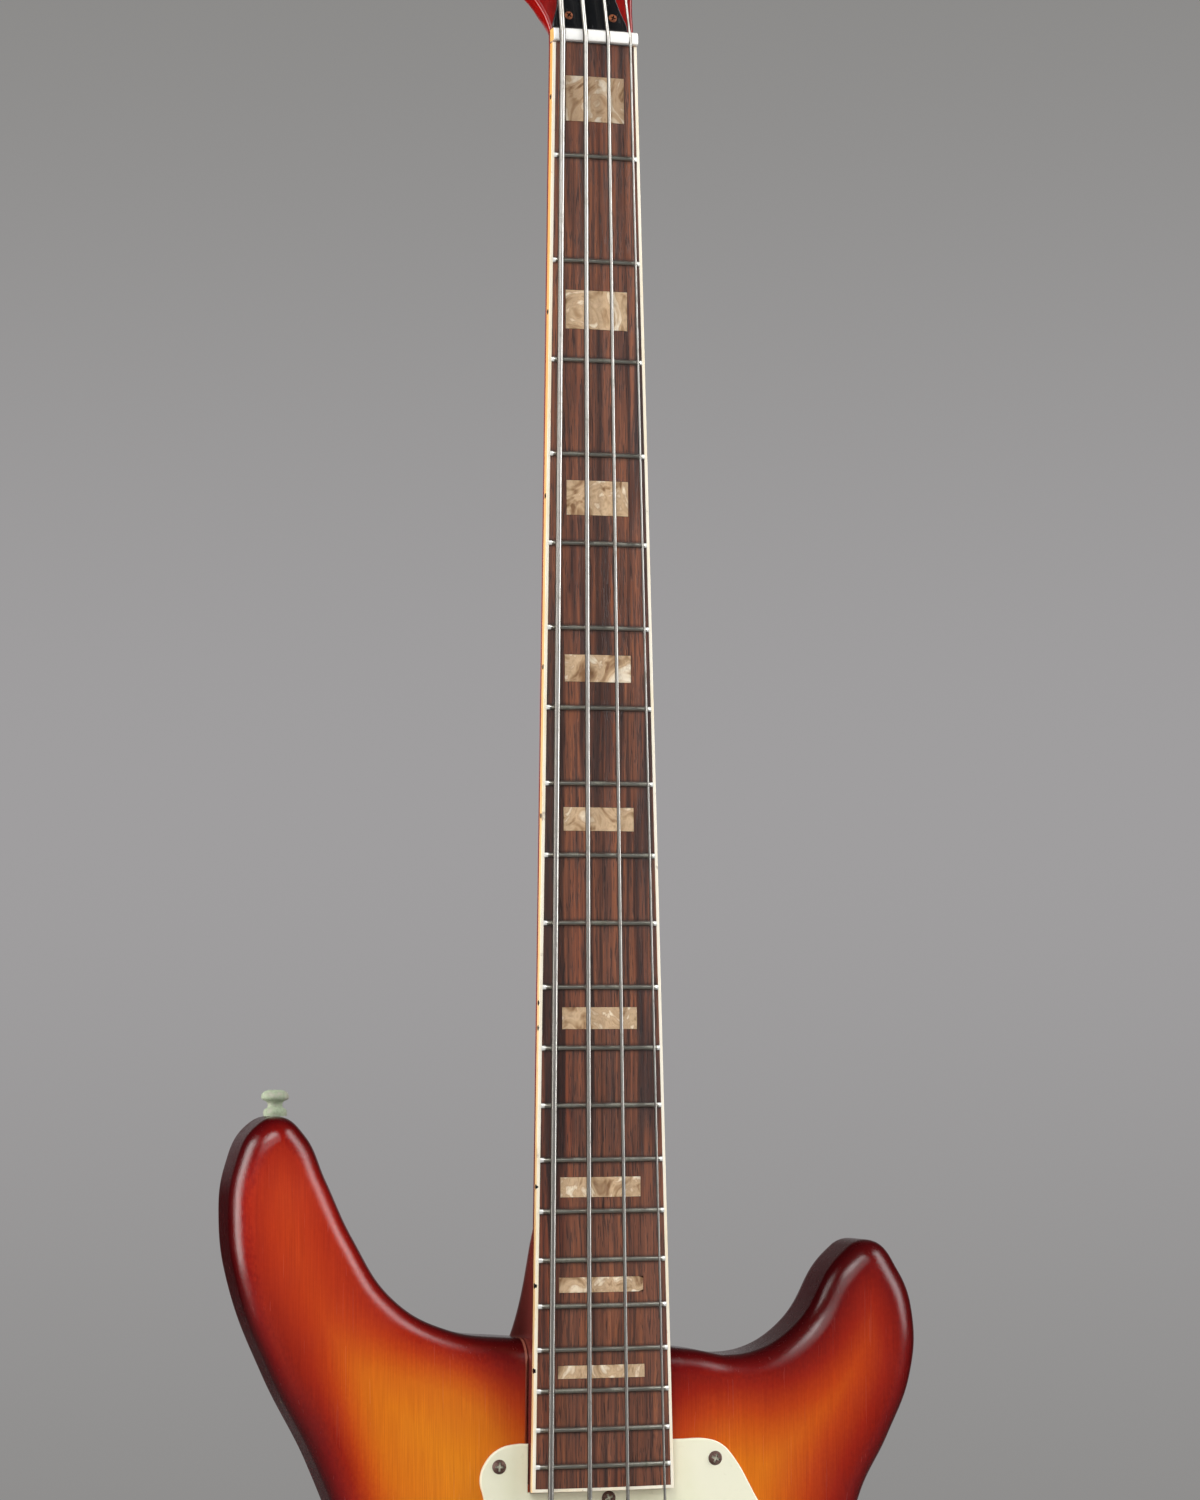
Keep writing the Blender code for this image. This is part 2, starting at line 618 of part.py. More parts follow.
def make_fingerboard():
    """The cambered board with its frets pressed in, and the binding round it."""
    side = FRET_WIDTH / 2
    fret_slices = ((side, 0), (side * 0.85, FRET_HEIGHT * 0.4), (0, FRET_HEIGHT),
                   (-side * 0.85, FRET_HEIGHT * 0.4), (-side, 0))
    rings = [board_ring(NUT_START - GAP, 0)]
    for number in range(1, FRETS + 1):
        for step, lift in fret_slices:
            rings.append(board_ring(fret_at(number) + step, lift))
    rings.append(board_ring(-BOARD_LENGTH + BINDING_WIDTH + GAP, 0))
    finish(loft("fingerboard", rings, FACE), ROSEWOOD)

    def binding_ring(outer, inner):
        """A slice of the binding between an outer and an inner (a, b)."""
        return [(*outer, BOARD_SEAT), (*outer, BOARD_RISE - board_sag(outer[0])),
                (*inner, BOARD_RISE - board_sag(inner[0])), (*inner, BOARD_SEAT)]

    nut_half = board_width(0) / 2
    end_half = board_width(-BOARD_LENGTH) / 2
    inner_end = -BOARD_LENGTH + BINDING_WIDTH
    corner = board_width(inner_end) / 2 - BINDING_WIDTH
    top = NUT_START - GAP
    rings = [binding_ring((-nut_half, top), (-nut_half + BINDING_WIDTH, top))]
    for share in (-1, -0.5, 0, 0.5, 1):
        rings.append(binding_ring((share * end_half, -BOARD_LENGTH),
                                  (share * corner, inner_end)))
    rings.append(binding_ring((nut_half, top), (nut_half - BINDING_WIDTH, top)))
    finish(loft("binding", rings, FACE), IVORY)


def wind_radius(index):
    """Radius of the string's path round its post, so that its flats clear the post."""
    flat = math.cos(math.pi / WIND_STEPS)
    return (POST_RADIUS + STRING_RADII[index] + GAP) / flat


def string_points(index):
    """A string's route: ball, saddle, nut, and the turns round its post; world metres."""
    a_bridge = string_a(index, STRING_SPREAD_BRIDGE)
    a_nut = string_a(index, STRING_SPREAD_NUT)
    wall_back = -(SCALE + BRIDGE_BACK + GAP)
    flat_points = [(a_bridge, wall_back - BALL_LENGTH, STRING_HOLE_RISE),
                   (a_bridge, wall_back, STRING_HOLE_RISE),
                   (a_bridge, wall_back + 0.0001, STRING_HOLE_RISE),
                   (a_bridge, wall_back + BRIDGE_WALL, STRING_HOLE_RISE),
                   (a_bridge, -SCALE, string_rise_bridge(index)),
                   (a_nut, NUT_START + NUT_LENGTH * 0.4, string_rise_nut(index))]
    points = [FACE_MATRIX @ Vector(point) for point in flat_points]
    start = HEAD_MATRIX.inverted() @ points[-1]
    centre = Vector(post_at(index))
    radius = wind_radius(index)
    away = centre - Vector((start.x, start.y))
    heading = math.atan2(away.y, away.x) - math.asin(radius / away.length)
    first = heading - math.pi / 2
    pitch = 2 * STRING_RADII[index] + GAP
    for step in range(round(WIND_TURNS * WIND_STEPS) + 1):
        turn = step / WIND_STEPS
        angle = first + 2 * math.pi * turn
        height = WIND_HEIGHT - pitch * turn
        points.append(HEAD_MATRIX @ Vector((centre.x + radius * math.cos(angle),
                                            centre.y + radius * math.sin(angle), height)))
    return points


def make_string(index):
    """A wound string, with its ball as a thicker stretch at the tail."""
    points = string_points(index)
    radius = STRING_RADII[index]
    scales = [1.0] * len(points)
    scales[0] = scales[1] = BALL_RADIUS / radius
    string = tube(f"string_{index + 1}", points, radius, None, scales)
    finish(string, STEEL)
    slot = tube(f"string_slot_{index + 1}", points[4:7], radius + GAP, None)
    return slot


def make_nut(slots):
    """The nut, cambered like the fingerboard, with a slot for each string."""
    half = NUT_WIDTH / 2
    rings = []
    for share in (-1, -0.5, 0, 0.5, 1):
        a = share * half
        top = NUT_RISE - board_sag(a)
        rings.append([(a, NUT_START + GAP, BOARD_SEAT), (a, NUT_START + GAP, top - 0.0006),
                      (a, NUT_START + NUT_LENGTH * 0.3, top), (a, NUT_END - GAP, top - 0.0008),
                      (a, NUT_END - GAP, BOARD_SEAT)])
    nut = loft("string_nut", rings, FACE)
    cut(nut, *slots)
    finish(nut, BONE)


def make_truss_cover():
    cover = slab("truss_rod_cover", COVER_OUTLINE, GAP, GAP + COVER_THICKNESS, HEAD,
                 smooth=True, steps=2)
    finish(cover, BLACK)


def make_tuner(index):
    """One open-geared tuner: ferrule, post with its gear, plate with ears, key with worm."""
    frame = TUNERS[index]
    label = index + 1
    bore = POST_SHAFT_RADIUS + GAP
    sleeve = FERRULE_SLEEVE_RADIUS
    top = GAP + FERRULE_THICKNESS
    ferrule = ((bore, top), (FERRULE_RADIUS - 0.001, top), (FERRULE_RADIUS, top - 0.0007),
               (FERRULE_RADIUS, GAP), (sleeve, GAP), (sleeve, -0.008), (bore, -0.008),
               (bore, top))
    finish(turned(f"tuner_ferrule_{label}", ferrule, frame, steps=12), CHROME)

    gear_top = WORM_AT[1] + GEAR_THICKNESS / 2
    gear_low = gear_top - GEAR_THICKNESS
    collar = top + GAP
    post = ((0, POST_HEIGHT), (POST_RADIUS, POST_HEIGHT), (POST_RADIUS + 0.0007, POST_HEIGHT - 0.001),
            (POST_RADIUS, POST_HEIGHT - 0.003), (POST_RADIUS, collar + 0.0012),
            (POST_RADIUS + 0.001, collar), (POST_SHAFT_RADIUS, collar),
            (POST_SHAFT_RADIUS, gear_top), (GEAR_RADIUS, gear_top), (GEAR_RADIUS, gear_low),
            (0.003, gear_low), (0.003, gear_low - 0.0015), (0, gear_low - 0.0015))
    post = turned(f"tuner_post_{label}", post, frame, steps=14)
    slot_half = 0.0016
    cut(post, box(f"post_slot_{label}", (-slot_half, -0.01, WIND_HEIGHT + 0.0015),
                  (slot_half, 0.01, POST_HEIGHT + REACH), frame))
    finish(post, CHROME)

    back = -(HEAD_THICKNESS + GAP)
    plate_back = back - TUNER_PLATE_THICKNESS
    worm_b, worm_c = WORM_AT
    plate = slab(f"tuner_plate_{label}", shifted(rounded_box(0.028, 0.034, 0.004, 1), (0, -0.003)),
                 plate_back, back, frame, holes=[circle(bore, (0, 0), 12)])
    ear_low = worm_c - 0.0042
    for side in (-1, 1):
        inner = side * (WORM_LENGTH / 2 + GAP + 0.0005)
        outer = inner + side * 0.0015
        join(plate, box(f"ear_{label}_{side}", (min(inner, outer), worm_b - 0.0045, ear_low),
                        (max(inner, outer), worm_b + 0.004, back - 0.0005), frame))
    cut(plate, rod(f"ear_bore_{label}", KEY_SHAFT_RADIUS + GAP, -0.012, 0.012, frame,
                   (0, worm_b, worm_c), 8, "a"))
    finish(plate, CHROME)

    worm_half = WORM_LENGTH / 2
    shaft = KEY_SHAFT_RADIUS
    key = ((0, worm_half + 0.003), (shaft, worm_half + 0.003), (shaft, worm_half),
           (WORM_RADIUS, worm_half), (WORM_RADIUS, -worm_half), (shaft, -worm_half),
           (shaft, -KEY_REACH + 0.002), (0.0038, -KEY_REACH), (0.0038, -KEY_REACH - 0.004),
           (0, -KEY_REACH - 0.004))
    key = turned(f"tuner_key_{label}", key, frame, (0, worm_b, worm_c), 10, "a")
    button = [(-KEY_REACH - BUTTON_LENGTH / 2 + BUTTON_LENGTH / 2 * math.cos(math.pi * i / 7),
               BUTTON_WIDTH / 2 * math.sin(math.pi * i / 7)) for i in range(14)]
    join(key, slab(f"key_button_{label}", button, -BUTTON_THICKNESS / 2, BUTTON_THICKNESS / 2,
                   frame, edge=0.0012, at=(0, worm_b, worm_c)))
    finish(key, CHROME)


def make_bridge():
    """The bridge plate with its rear wall, bored for the strings and the saddle screws."""
    front = -SCALE + BRIDGE_FRONT
    back = -SCALE - BRIDGE_BACK
    half = BRIDGE_WIDTH / 2
    outline = shifted(rounded_box(BRIDGE_WIDTH, front - back, 0.003), (0, (front + back) / 2))
    plate = slab("bridge_plate", outline, GAP, BRIDGE_RISE, FACE)
    wall = box("bridge_wall", (-half + 0.002, back, GAP + 0.0005),
               (half - 0.002, back + BRIDGE_WALL, BRIDGE_WALL_RISE), FACE)
    join(plate, wall)
    for i in range(TUNER_COUNT):
        a = string_a(i, STRING_SPREAD_BRIDGE)
        for name, radius, rise in (("string_hole", STRING_RADII[i] + GAP, STRING_HOLE_RISE),
                                   ("screw_hole", SADDLE_SCREW_RADIUS + GAP, SADDLE_SCREW_RISE)):
            cut(plate, rod(f"{name}_{i + 1}", radius, -REACH, BRIDGE_WALL + REACH, FACE,
                           (a, back, rise), 8, "b"))
    finish(plate, CHROME)


def make_saddle(index):
    """A saddle that slides on the plate, and the screw through the wall that moves it."""
    a = string_a(index, STRING_SPREAD_BRIDGE)
    crown = string_rise_bridge(index) - STRING_RADII[index] - GAP
    floor = BRIDGE_RISE + GAP
    profile = ((SADDLE_FRONT, floor), (SADDLE_FRONT, crown - 0.002), (0.0012, crown),
               (-0.0004, crown), (-SADDLE_BACK, crown - 0.0035), (-SADDLE_BACK, floor))
    half = SADDLE_WIDTH / 2
    rings = [[(a + side * half, -SCALE + b, c) for b, c in profile] for side in (-1, 1)]
    saddle = loft(f"saddle_{index + 1}", rings, FACE)
    cut(saddle, rod(f"saddle_bore_{index + 1}", SADDLE_SCREW_RADIUS + GAP, -0.02, 0.02, FACE,
                    (a, -SCALE, SADDLE_SCREW_RISE), 8, "b"))
    finish(saddle, CHROME)
    radius = SADDLE_SCREW_RADIUS
    head_top = -GAP
    tip = BRIDGE_BACK + 0.012
    profile = ((0, tip), (radius, tip), (radius, head_top), (SADDLE_SCREW_HEAD, head_top),
               (SADDLE_SCREW_HEAD, head_top - 0.002), (0, head_top - 0.002))
    screw = turned(f"saddle_screw_{index + 1}", profile, FACE,
                   (a, -SCALE - BRIDGE_BACK, SADDLE_SCREW_RISE), 8, "b")
    finish(screw, STEEL)


def pickup_outline(clearance):
    return rounded_box(PICKUP_WIDTH + 2 * clearance, PICKUP_LENGTH + 2 * clearance,
                       PICKUP_CORNER + clearance)


def make_pickguard():
    """The guard, notched for the neck's end and holed for all that it carries."""
    top = board_width(GUARD_TOP) / 2 + GAP
    foot = -BOARD_LENGTH - GAP
    low = board_width(foot) / 2 + GAP
    notch = ((top, GUARD_TOP, "corner"), (low, foot, "corner"), (-low, foot, "corner"),
             (-top, GUARD_TOP, "corner"))
    holes = [shifted(pickup_outline(GAP), (0, NECK_PICKUP_AT)),
             shifted(pickup_outline(GAP), (0, BRIDGE_PICKUP_AT)),
             circle(BUSHING_RADIUS + GAP, VOLUME_AT),
             circle(BUSHING_RADIUS + GAP, TONE_AT),
             circle(SELECTOR_BUSHING + GAP, SELECTOR_AT)]
    guard = slab("pickguard", (*GUARD_OUTLINE, *notch), GUARD_SEAT, GUARD_RISE, FACE, holes,
                 edge=0.0005, smooth=True, steps=2)
    finish(guard, IVORY)


def make_pickup(name, b):
    """A metal cover over a coil that stands on the floor of its cavity."""
    cover = slab(f"{name}_cover", pickup_outline(0), -PICKUP_SKIRT, PICKUP_RISE, FACE,
                 edge=0.001, edge_steps=1, at=(0, b, 0))
    inside = slab(f"{name}_inside", pickup_outline(-PICKUP_WALL), -PICKUP_SKIRT - REACH,
                  PICKUP_RISE - PICKUP_WALL, FACE, at=(0, b, 0))
    cut(cover, inside)
    finish(cover, CHROME)
    coil = slab(f"{name}_coil", pickup_outline(-PICKUP_WALL - GAP), GAP - PICKUP_CAVITY_DEPTH,
                PICKUP_RISE - PICKUP_WALL - GAP, FACE, at=(0, b, 0))
    finish(coil, COPPER)


def make_control(name, at):
    """A potentiometer under the guard, its shaft, and the knob on top."""
    place = (*at, 0)
    bore = SHAFT_RADIUS + GAP
    nut_low = GUARD_RISE + GAP
    nut_top = nut_low + 0.002
    can_top = -GAP
    floor = can_top - 0.003
    pot = ((0, floor), (bore, floor), (bore, nut_top), (0.0065, nut_top), (0.0065, nut_low),
           (BUSHING_RADIUS, nut_low), (BUSHING_RADIUS, can_top), (POT_RADIUS, can_top),
           (POT_RADIUS, can_top - POT_DEPTH), (0, can_top - POT_DEPTH))
    finish(turned(f"{name}_pot", pot, FACE, place, 14), STEEL)
    knob_low = nut_low + 0.0004
    knob_top = knob_low + KNOB_HEIGHT
    recess = nut_top + 0.001
    shaft_top = knob_top - 0.005
    finish(rod(f"{name}_shaft", SHAFT_RADIUS, floor + GAP, shaft_top, FACE, place, 12), STEEL)
    knob = ((0, knob_top), (KNOB_RADIUS - 0.0016, knob_top), (KNOB_RADIUS - 0.0006, knob_top - 0.001),
            (KNOB_RADIUS, knob_low), (0.0075, knob_low), (0.0075, recess), (bore, recess),
            (bore, shaft_top + GAP), (0, shaft_top + GAP))
    finish(turned(f"{name}_knob", knob, FACE, place, 18), BLACK)


def make_selector():
    """The pickup selector: a threaded frame through the guard, and its lever."""
    place = (*SELECTOR_AT, 0)
    nut_low = GUARD_RISE + GAP
    nut_top = nut_low + 0.002
    can_top = -GAP
    floor = -0.0075
    frame = ((0, floor), (SELECTOR_BORE, floor), (SELECTOR_BORE, nut_top), (0.008, nut_top),
             (0.0085, nut_low), (SELECTOR_BUSHING, nut_low), (SELECTOR_BUSHING, can_top),
             (SELECTOR_RADIUS, can_top), (SELECTOR_RADIUS, can_top - SELECTOR_DEPTH),
             (0, can_top - SELECTOR_DEPTH))
    finish(turned("selector_frame", frame, FACE, place, 14), STEEL)
    ball = SELECTOR_BORE - GAP - 0.0002
    rim = ball * math.sqrt(0.5)
    lever = [(0, LEVER_HEIGHT), (0.0022, LEVER_HEIGHT - 0.0003), (0.0031, LEVER_HEIGHT - 0.0025),
             (0.0022, LEVER_HEIGHT - 0.009), (LEVER_RADIUS, LEVER_HEIGHT - 0.0092),
             (LEVER_RADIUS, 0.0031), (rim, rim), (ball, 0), (rim, -rim), (LEVER_RADIUS, -0.0031),
             (LEVER_RADIUS, -0.0058), (0, -0.0058)]
    finish(turned("selector_lever", lever, FACE, place, 10), IVORY)


def make_jack():
    """The output jack: a plate let into the rim, and the socket bolted through it."""
    hole = JACK_SLEEVE + GAP
    plate_top = GAP + JACK_PLATE_THICKNESS
    plate = slab("jack_plate", rounded_box(*JACK_PLATE, 0.004), GAP, plate_top, JACK,
                 holes=[circle(hole, (0, 0))])
    finish(plate, CHROME)
    low = plate_top + GAP
    top = low + 0.0025
    end = top - JACK_LENGTH
    socket = ((0, end + 0.002), (JACK_BORE, end + 0.002), (JACK_BORE, top), (0.0068, top),
              (0.0075, top - 0.0007), (0.0075, low), (JACK_SLEEVE, low), (JACK_SLEEVE, -0.001),
              (0.006, -0.001), (0.006, end), (0, end))
    finish(turned("jack_socket", socket, JACK, steps=16), CHROME)


def make_strap_button(name, at, direction):
    """A mushroom button on a screw; direction is +1 up or -1 down."""
    height = BUTTON_HEIGHT
    neck = BUTTON_NECK_RADIUS
    head = BUTTON_HEAD_RADIUS
    flange = BUTTON_FLANGE_RADIUS
    profile = ((0, height), (0.0026, height), (head - 0.001, height - 0.0012),
               (head, height - 0.0028), (head - 0.0004, height - 0.0042), (neck, height - 0.0052),
               (neck, 0.0036), (flange - 0.0004, 0.0028), (flange, 0.002), (flange, GAP),
               (BUTTON_SCREW_RADIUS, GAP), (BUTTON_SCREW_RADIUS, -BUTTON_SCREW_LENGTH),
               (0, -BUTTON_SCREW_LENGTH))
    if direction < 0:
        profile = tuple((radius, -height) for radius, height in profile)
    finish(turned(name, profile, FACE, (*at, BODY_MIDDLE), 16, "b"), BRASS)


def make_leads():
    """The pickups' leads to the volume control, and the output lead to the jack."""
    side = PICKUP_WIDTH / 2 - PICKUP_WALL - GAP
    under = -PICKUP_SKIRT - LEAD_RADIUS - 0.001
    pot_floor = -GAP - POT_DEPTH
    pot_a, pot_b = VOLUME_AT
    start = side + LEAD_RADIUS * 0.2 + GAP
    bridge_b = BRIDGE_PICKUP_AT + 0.006
    finish(tube("bridge_pickup_lead",
                [(start, bridge_b, under), (start + 0.008, bridge_b, under),
                 *BRIDGE_LEAD_ROUTE,
                 (pot_a - 0.002, pot_b - 0.003, pot_floor - LEAD_RADIUS - GAP)],
                LEAD_RADIUS, FACE), CLOTH)
    neck_b = NECK_PICKUP_AT - 0.004
    finish(tube("neck_pickup_lead",
                [(start, neck_b, under), (start + 0.007, neck_b - 0.001, under),
                 *NECK_LEAD_ROUTE,
                 (pot_a - 0.003, pot_b + 0.002, pot_floor - LEAD_RADIUS - GAP)],
                LEAD_RADIUS, FACE), CLOTH)
    jack_a = JACK_SEAT[0] + GAP + JACK_PLATE_THICKNESS + GAP + 0.0025 - JACK_LENGTH - GAP
    finish(tube("output_lead",
                [(jack_a, JACK_SEAT[1], BODY_MIDDLE), (jack_a - 0.012, JACK_SEAT[1], BODY_MIDDLE),
                 (jack_a - 0.024, JACK_SEAT[1], BODY_MIDDLE), *OUTPUT_LEAD_ROUTE,
                 (TONE_AT[0] + 0.003, TONE_AT[1] - 0.002, pot_floor - LEAD_RADIUS - GAP)],
                LEAD_RADIUS, FACE), CLOTH)


def make_body():
    """The body, routed from the front for neck, pickups and controls."""
    body = slab("body", BODY_OUTLINE, -BODY_THICKNESS, 0, FACE, edge=BODY_EDGE, edge_steps=2,
                smooth=True, steps=3)
    pocket = slab("neck_pocket", neck_outline(GAP, BODY_SHOULDER + 0.02, -BOARD_LENGTH - GAP),
                  -TENON_DEPTH, REACH, FACE)
    half = board_width(-BOARD_LENGTH) / 2 + GAP
    tail = box("tenon_pocket", (-half, TENON_END, -TENON_DEPTH),
               (half, -BOARD_LENGTH + 0.003, REACH), FACE)
    notch = slab("shoulder_notch", neck_outline(GAP, HEEL_START, BODY_SHOULDER),
                 -BODY_THICKNESS - REACH, 2 * REACH, FACE)
    cut(body, pocket, tail, notch)
    for name, b in (("neck_pickup", NECK_PICKUP_AT), ("bridge_pickup", BRIDGE_PICKUP_AT)):
        cut(body, slab(f"{name}_cavity", pickup_outline(0.0015), -PICKUP_CAVITY_DEPTH, REACH,
                       FACE, at=(0, b, 0)))
    cut(body, slab("control_cavity", CONTROL_OUTLINE, -CONTROL_DEPTH, REACH, FACE))
    for name, (low, high) in (("bridge_channel", BRIDGE_CHANNEL), ("neck_channel", NECK_CHANNEL)):
        cut(body, box(name, (*low, -CHANNEL_DEPTH), (*high, REACH), FACE))
    seat = box("jack_seat", (-JACK_PLATE[0] / 2 - GAP, -JACK_PLATE[1] / 2 - GAP, 0),
               (JACK_PLATE[0] / 2 + GAP, JACK_PLATE[1] / 2 + GAP, 0.01), JACK)
    bore = rod("jack_bore", JACK_HOLE_RADIUS, -JACK_HOLE_DEPTH, REACH, JACK)
    cut(body, seat, bore)
    for name, at, turn in (("horn", HORN_BUTTON_AT, 1), ("tail", TAIL_BUTTON_AT, -1)):
        place = (*at, BODY_MIDDLE)
        ends = sorted((0, turn * 0.004))
        cut(body, rod(f"{name}_seat", BUTTON_FLANGE_RADIUS + 0.0006, *ends, FACE, place, 20, "b"))
        ends = sorted((-turn * (BUTTON_SCREW_LENGTH + GAP), turn * REACH))
        cut(body, rod(f"{name}_hole", BUTTON_SCREW_RADIUS + GAP, *ends, FACE, place, 12, "b"))
    finish(body, SUNBURST)


def make_guitar():
    make_body()
    make_neck()
    make_truss_rod()
    make_fingerboard()
    make_nut([make_string(i) for i in range(TUNER_COUNT)])
    make_truss_cover()
    for i in range(TUNER_COUNT):
        make_tuner(i)
    make_bridge()
    for i in range(TUNER_COUNT):
        make_saddle(i)
    make_pickguard()
    make_pickup("neck_pickup", NECK_PICKUP_AT)
    make_pickup("bridge_pickup", BRIDGE_PICKUP_AT)
    make_control("volume", VOLUME_AT)
    make_control("tone", TONE_AT)
    make_selector()
    make_jack()
    make_strap_button("strap_button_horn", HORN_BUTTON_AT, 1)
    make_strap_button("strap_button_tail", TAIL_BUTTON_AT, -1)
    make_leads()


make_guitar()
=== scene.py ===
# %% [markdown]
# # An old sunburst electric bass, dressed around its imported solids
# The instrument is a solid wooden body with two horns, a long bound fingerboard and four wound
# strings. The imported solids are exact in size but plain, so each piece that shows is made
# again here with its real edges and surfaces, in the same place, or gets a finish of its own.
import math

import bmesh
import bpy
import numpy as np
from mathutils import Matrix, Vector, geometry, kdtree


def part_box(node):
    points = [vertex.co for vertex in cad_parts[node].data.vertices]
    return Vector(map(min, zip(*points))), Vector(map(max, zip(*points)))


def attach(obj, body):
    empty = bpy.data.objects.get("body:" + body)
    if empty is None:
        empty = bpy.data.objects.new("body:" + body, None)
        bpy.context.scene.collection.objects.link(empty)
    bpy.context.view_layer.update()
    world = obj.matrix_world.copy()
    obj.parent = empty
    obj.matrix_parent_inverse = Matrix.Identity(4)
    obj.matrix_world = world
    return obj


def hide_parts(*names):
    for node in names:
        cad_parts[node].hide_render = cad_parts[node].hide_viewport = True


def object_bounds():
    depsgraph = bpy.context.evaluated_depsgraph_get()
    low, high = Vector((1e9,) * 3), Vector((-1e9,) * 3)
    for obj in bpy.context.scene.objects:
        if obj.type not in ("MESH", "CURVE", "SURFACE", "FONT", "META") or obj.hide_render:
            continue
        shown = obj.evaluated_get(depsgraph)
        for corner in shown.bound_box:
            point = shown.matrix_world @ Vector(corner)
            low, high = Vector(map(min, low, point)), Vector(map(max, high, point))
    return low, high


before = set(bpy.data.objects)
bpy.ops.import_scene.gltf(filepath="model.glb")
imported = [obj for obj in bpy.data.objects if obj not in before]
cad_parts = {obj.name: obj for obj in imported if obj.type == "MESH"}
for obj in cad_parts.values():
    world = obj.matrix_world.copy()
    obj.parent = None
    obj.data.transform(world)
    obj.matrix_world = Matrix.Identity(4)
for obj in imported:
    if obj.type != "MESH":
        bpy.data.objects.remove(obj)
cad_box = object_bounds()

SCENE = bpy.context.scene
MM = 0.001

# %% [markdown]
# ## Where everything lies
# A guitar maker measures along the neck from the nut, across it from the centre line, and
# out of the body's face. `FACE` turns such a place (a, b, c) into the world, where the neck
# points up and the face looks along -Y. The headstock leans back, so it has its own frame.

# %% Driving sizes
SCALE = 0.864
FRETS = 21
NUT_WIDTH = 0.0379
BOARD_END_WIDTH = 0.0622
BOARD_RADIUS = 0.237
BOARD_THICKNESS = 0.005
BINDING_WIDTH = 0.0014
FRET_WIDTH = 0.002
FRET_HEIGHT = 0.001
NECK_RISE = 0.0051
NUT_START = 0.0014
NUT_LENGTH = 0.006
NUT_END = NUT_START + NUT_LENGTH
NUT_RISE = 0.0124
HEAD_TILT = math.radians(10)
HEAD_THICKNESS = 0.015
BODY_THICKNESS = 0.044
GAP = 0.0003
BOARD_LENGTH = SCALE * (1 - 2 ** (-FRETS / 12)) + 0.0105
BOARD_SEAT = NECK_RISE + GAP
BOARD_RISE = NECK_RISE + BOARD_THICKNESS
FACE = Matrix(((1, 0, 0, 0), (0, 0, -1, 0), (0, 1, 0, 0), (0, 0, 0, 1)))
HEAD = FACE @ Matrix.Translation((0, NUT_END, NECK_RISE)) @ Matrix.Rotation(-HEAD_TILT, 4, "X")
print("board length", round(BOARD_LENGTH, 4))


# %% Rules of the fingerboard
def fret_at(number):
    """How far below the nut a fret lies, by equal temperament."""
    return -SCALE * (1 - 2 ** (-number / 12))


def board_width(b):
    """The board widens evenly from the nut to its end."""
    return NUT_WIDTH + (BOARD_END_WIDTH - NUT_WIDTH) * max(-b / BOARD_LENGTH, 0)


def board_sag(a):
    """How far the cambered board has fallen away at a from its centre line."""
    return BOARD_RADIUS - math.sqrt(BOARD_RADIUS ** 2 - a * a)


def string_a(index, spread):
    """Where a string crosses, for strings spaced evenly over a spread."""
    return spread * (index / 3 - 0.5)


print("frets at", [round(fret_at(n) * 1000) for n in (1, 12, 21)], "mm")

# %% [markdown]
# ## The camera
# The photograph was taken a little from the bass side and from above, so the left side of
# the neck and the left flanks of the horns show. The camera's place comes from measured
# points on the fingerboard, whose real sizes are known.

# %% Camera
FRAME_PIXELS = (1200, 1500)
FOCAL_PIXELS = 4056.35
camera_data = bpy.data.cameras.new("photo_camera")
camera_data.sensor_width = 36
camera_data.lens = FOCAL_PIXELS * 36 / max(FRAME_PIXELS)
camera = bpy.data.objects.new("photo_camera", camera_data)
SCENE.collection.objects.link(camera)
right = Vector((0.95985, -0.28045, -0.00655))
up = Vector((-0.01665, -0.08024, 0.99664))
back = Vector((-0.28003, -0.95651, -0.08169))
camera.matrix_world = Matrix.Translation((-0.48434, -1.66448, -0.44661)) @ Matrix(
    (right, up, back)).transposed().to_4x4()
SCENE.camera = camera
print("lens", round(camera_data.lens, 2), "mm")


# %% [markdown]
# ## Small helpers
# Meshes are built in plain Python, evaluated once and left without modifiers, so that the
# scene holds what is seen. `dress` gives flat faces flat light and round edges round
# light: it marks the sharp edges and weighs the normals by area.

# %% Mesh helpers
def put(name, mesh):
    """An object at the origin that shows a mesh."""
    item = bpy.data.objects.new(name, mesh)
    mesh.name = name
    SCENE.collection.objects.link(item)
    return item


def plain(item):
    """The evaluated mesh of an object, which is then removed."""
    bpy.context.view_layer.update()
    graph = bpy.context.evaluated_depsgraph_get()
    mesh = bpy.data.meshes.new_from_object(item.evaluated_get(graph), depsgraph=graph)
    bpy.data.objects.remove(item)
    return mesh


def meshed(work):
    """The mesh of a bmesh, which is then freed."""
    mesh = bpy.data.meshes.new("mesh")
    work.to_mesh(mesh)
    work.free()
    return mesh


def weld(mesh, distance=1e-6):
    """Merge doubles and turn the faces of a closed mesh outwards."""
    work = bmesh.new()
    work.from_mesh(mesh)
    bmesh.ops.remove_doubles(work, verts=work.verts, dist=distance)
    bmesh.ops.recalc_face_normals(work, faces=work.faces)
    if work.calc_volume(signed=True) < 0:
        bmesh.ops.reverse_faces(work, faces=work.faces)
    work.to_mesh(mesh)
    work.free()
    return mesh


def carry(mesh, name, values):
    """Write a number onto each point of a mesh, for a material to read."""
    mesh.attributes.new(name, "FLOAT", "POINT").data.foreach_set("value", values)


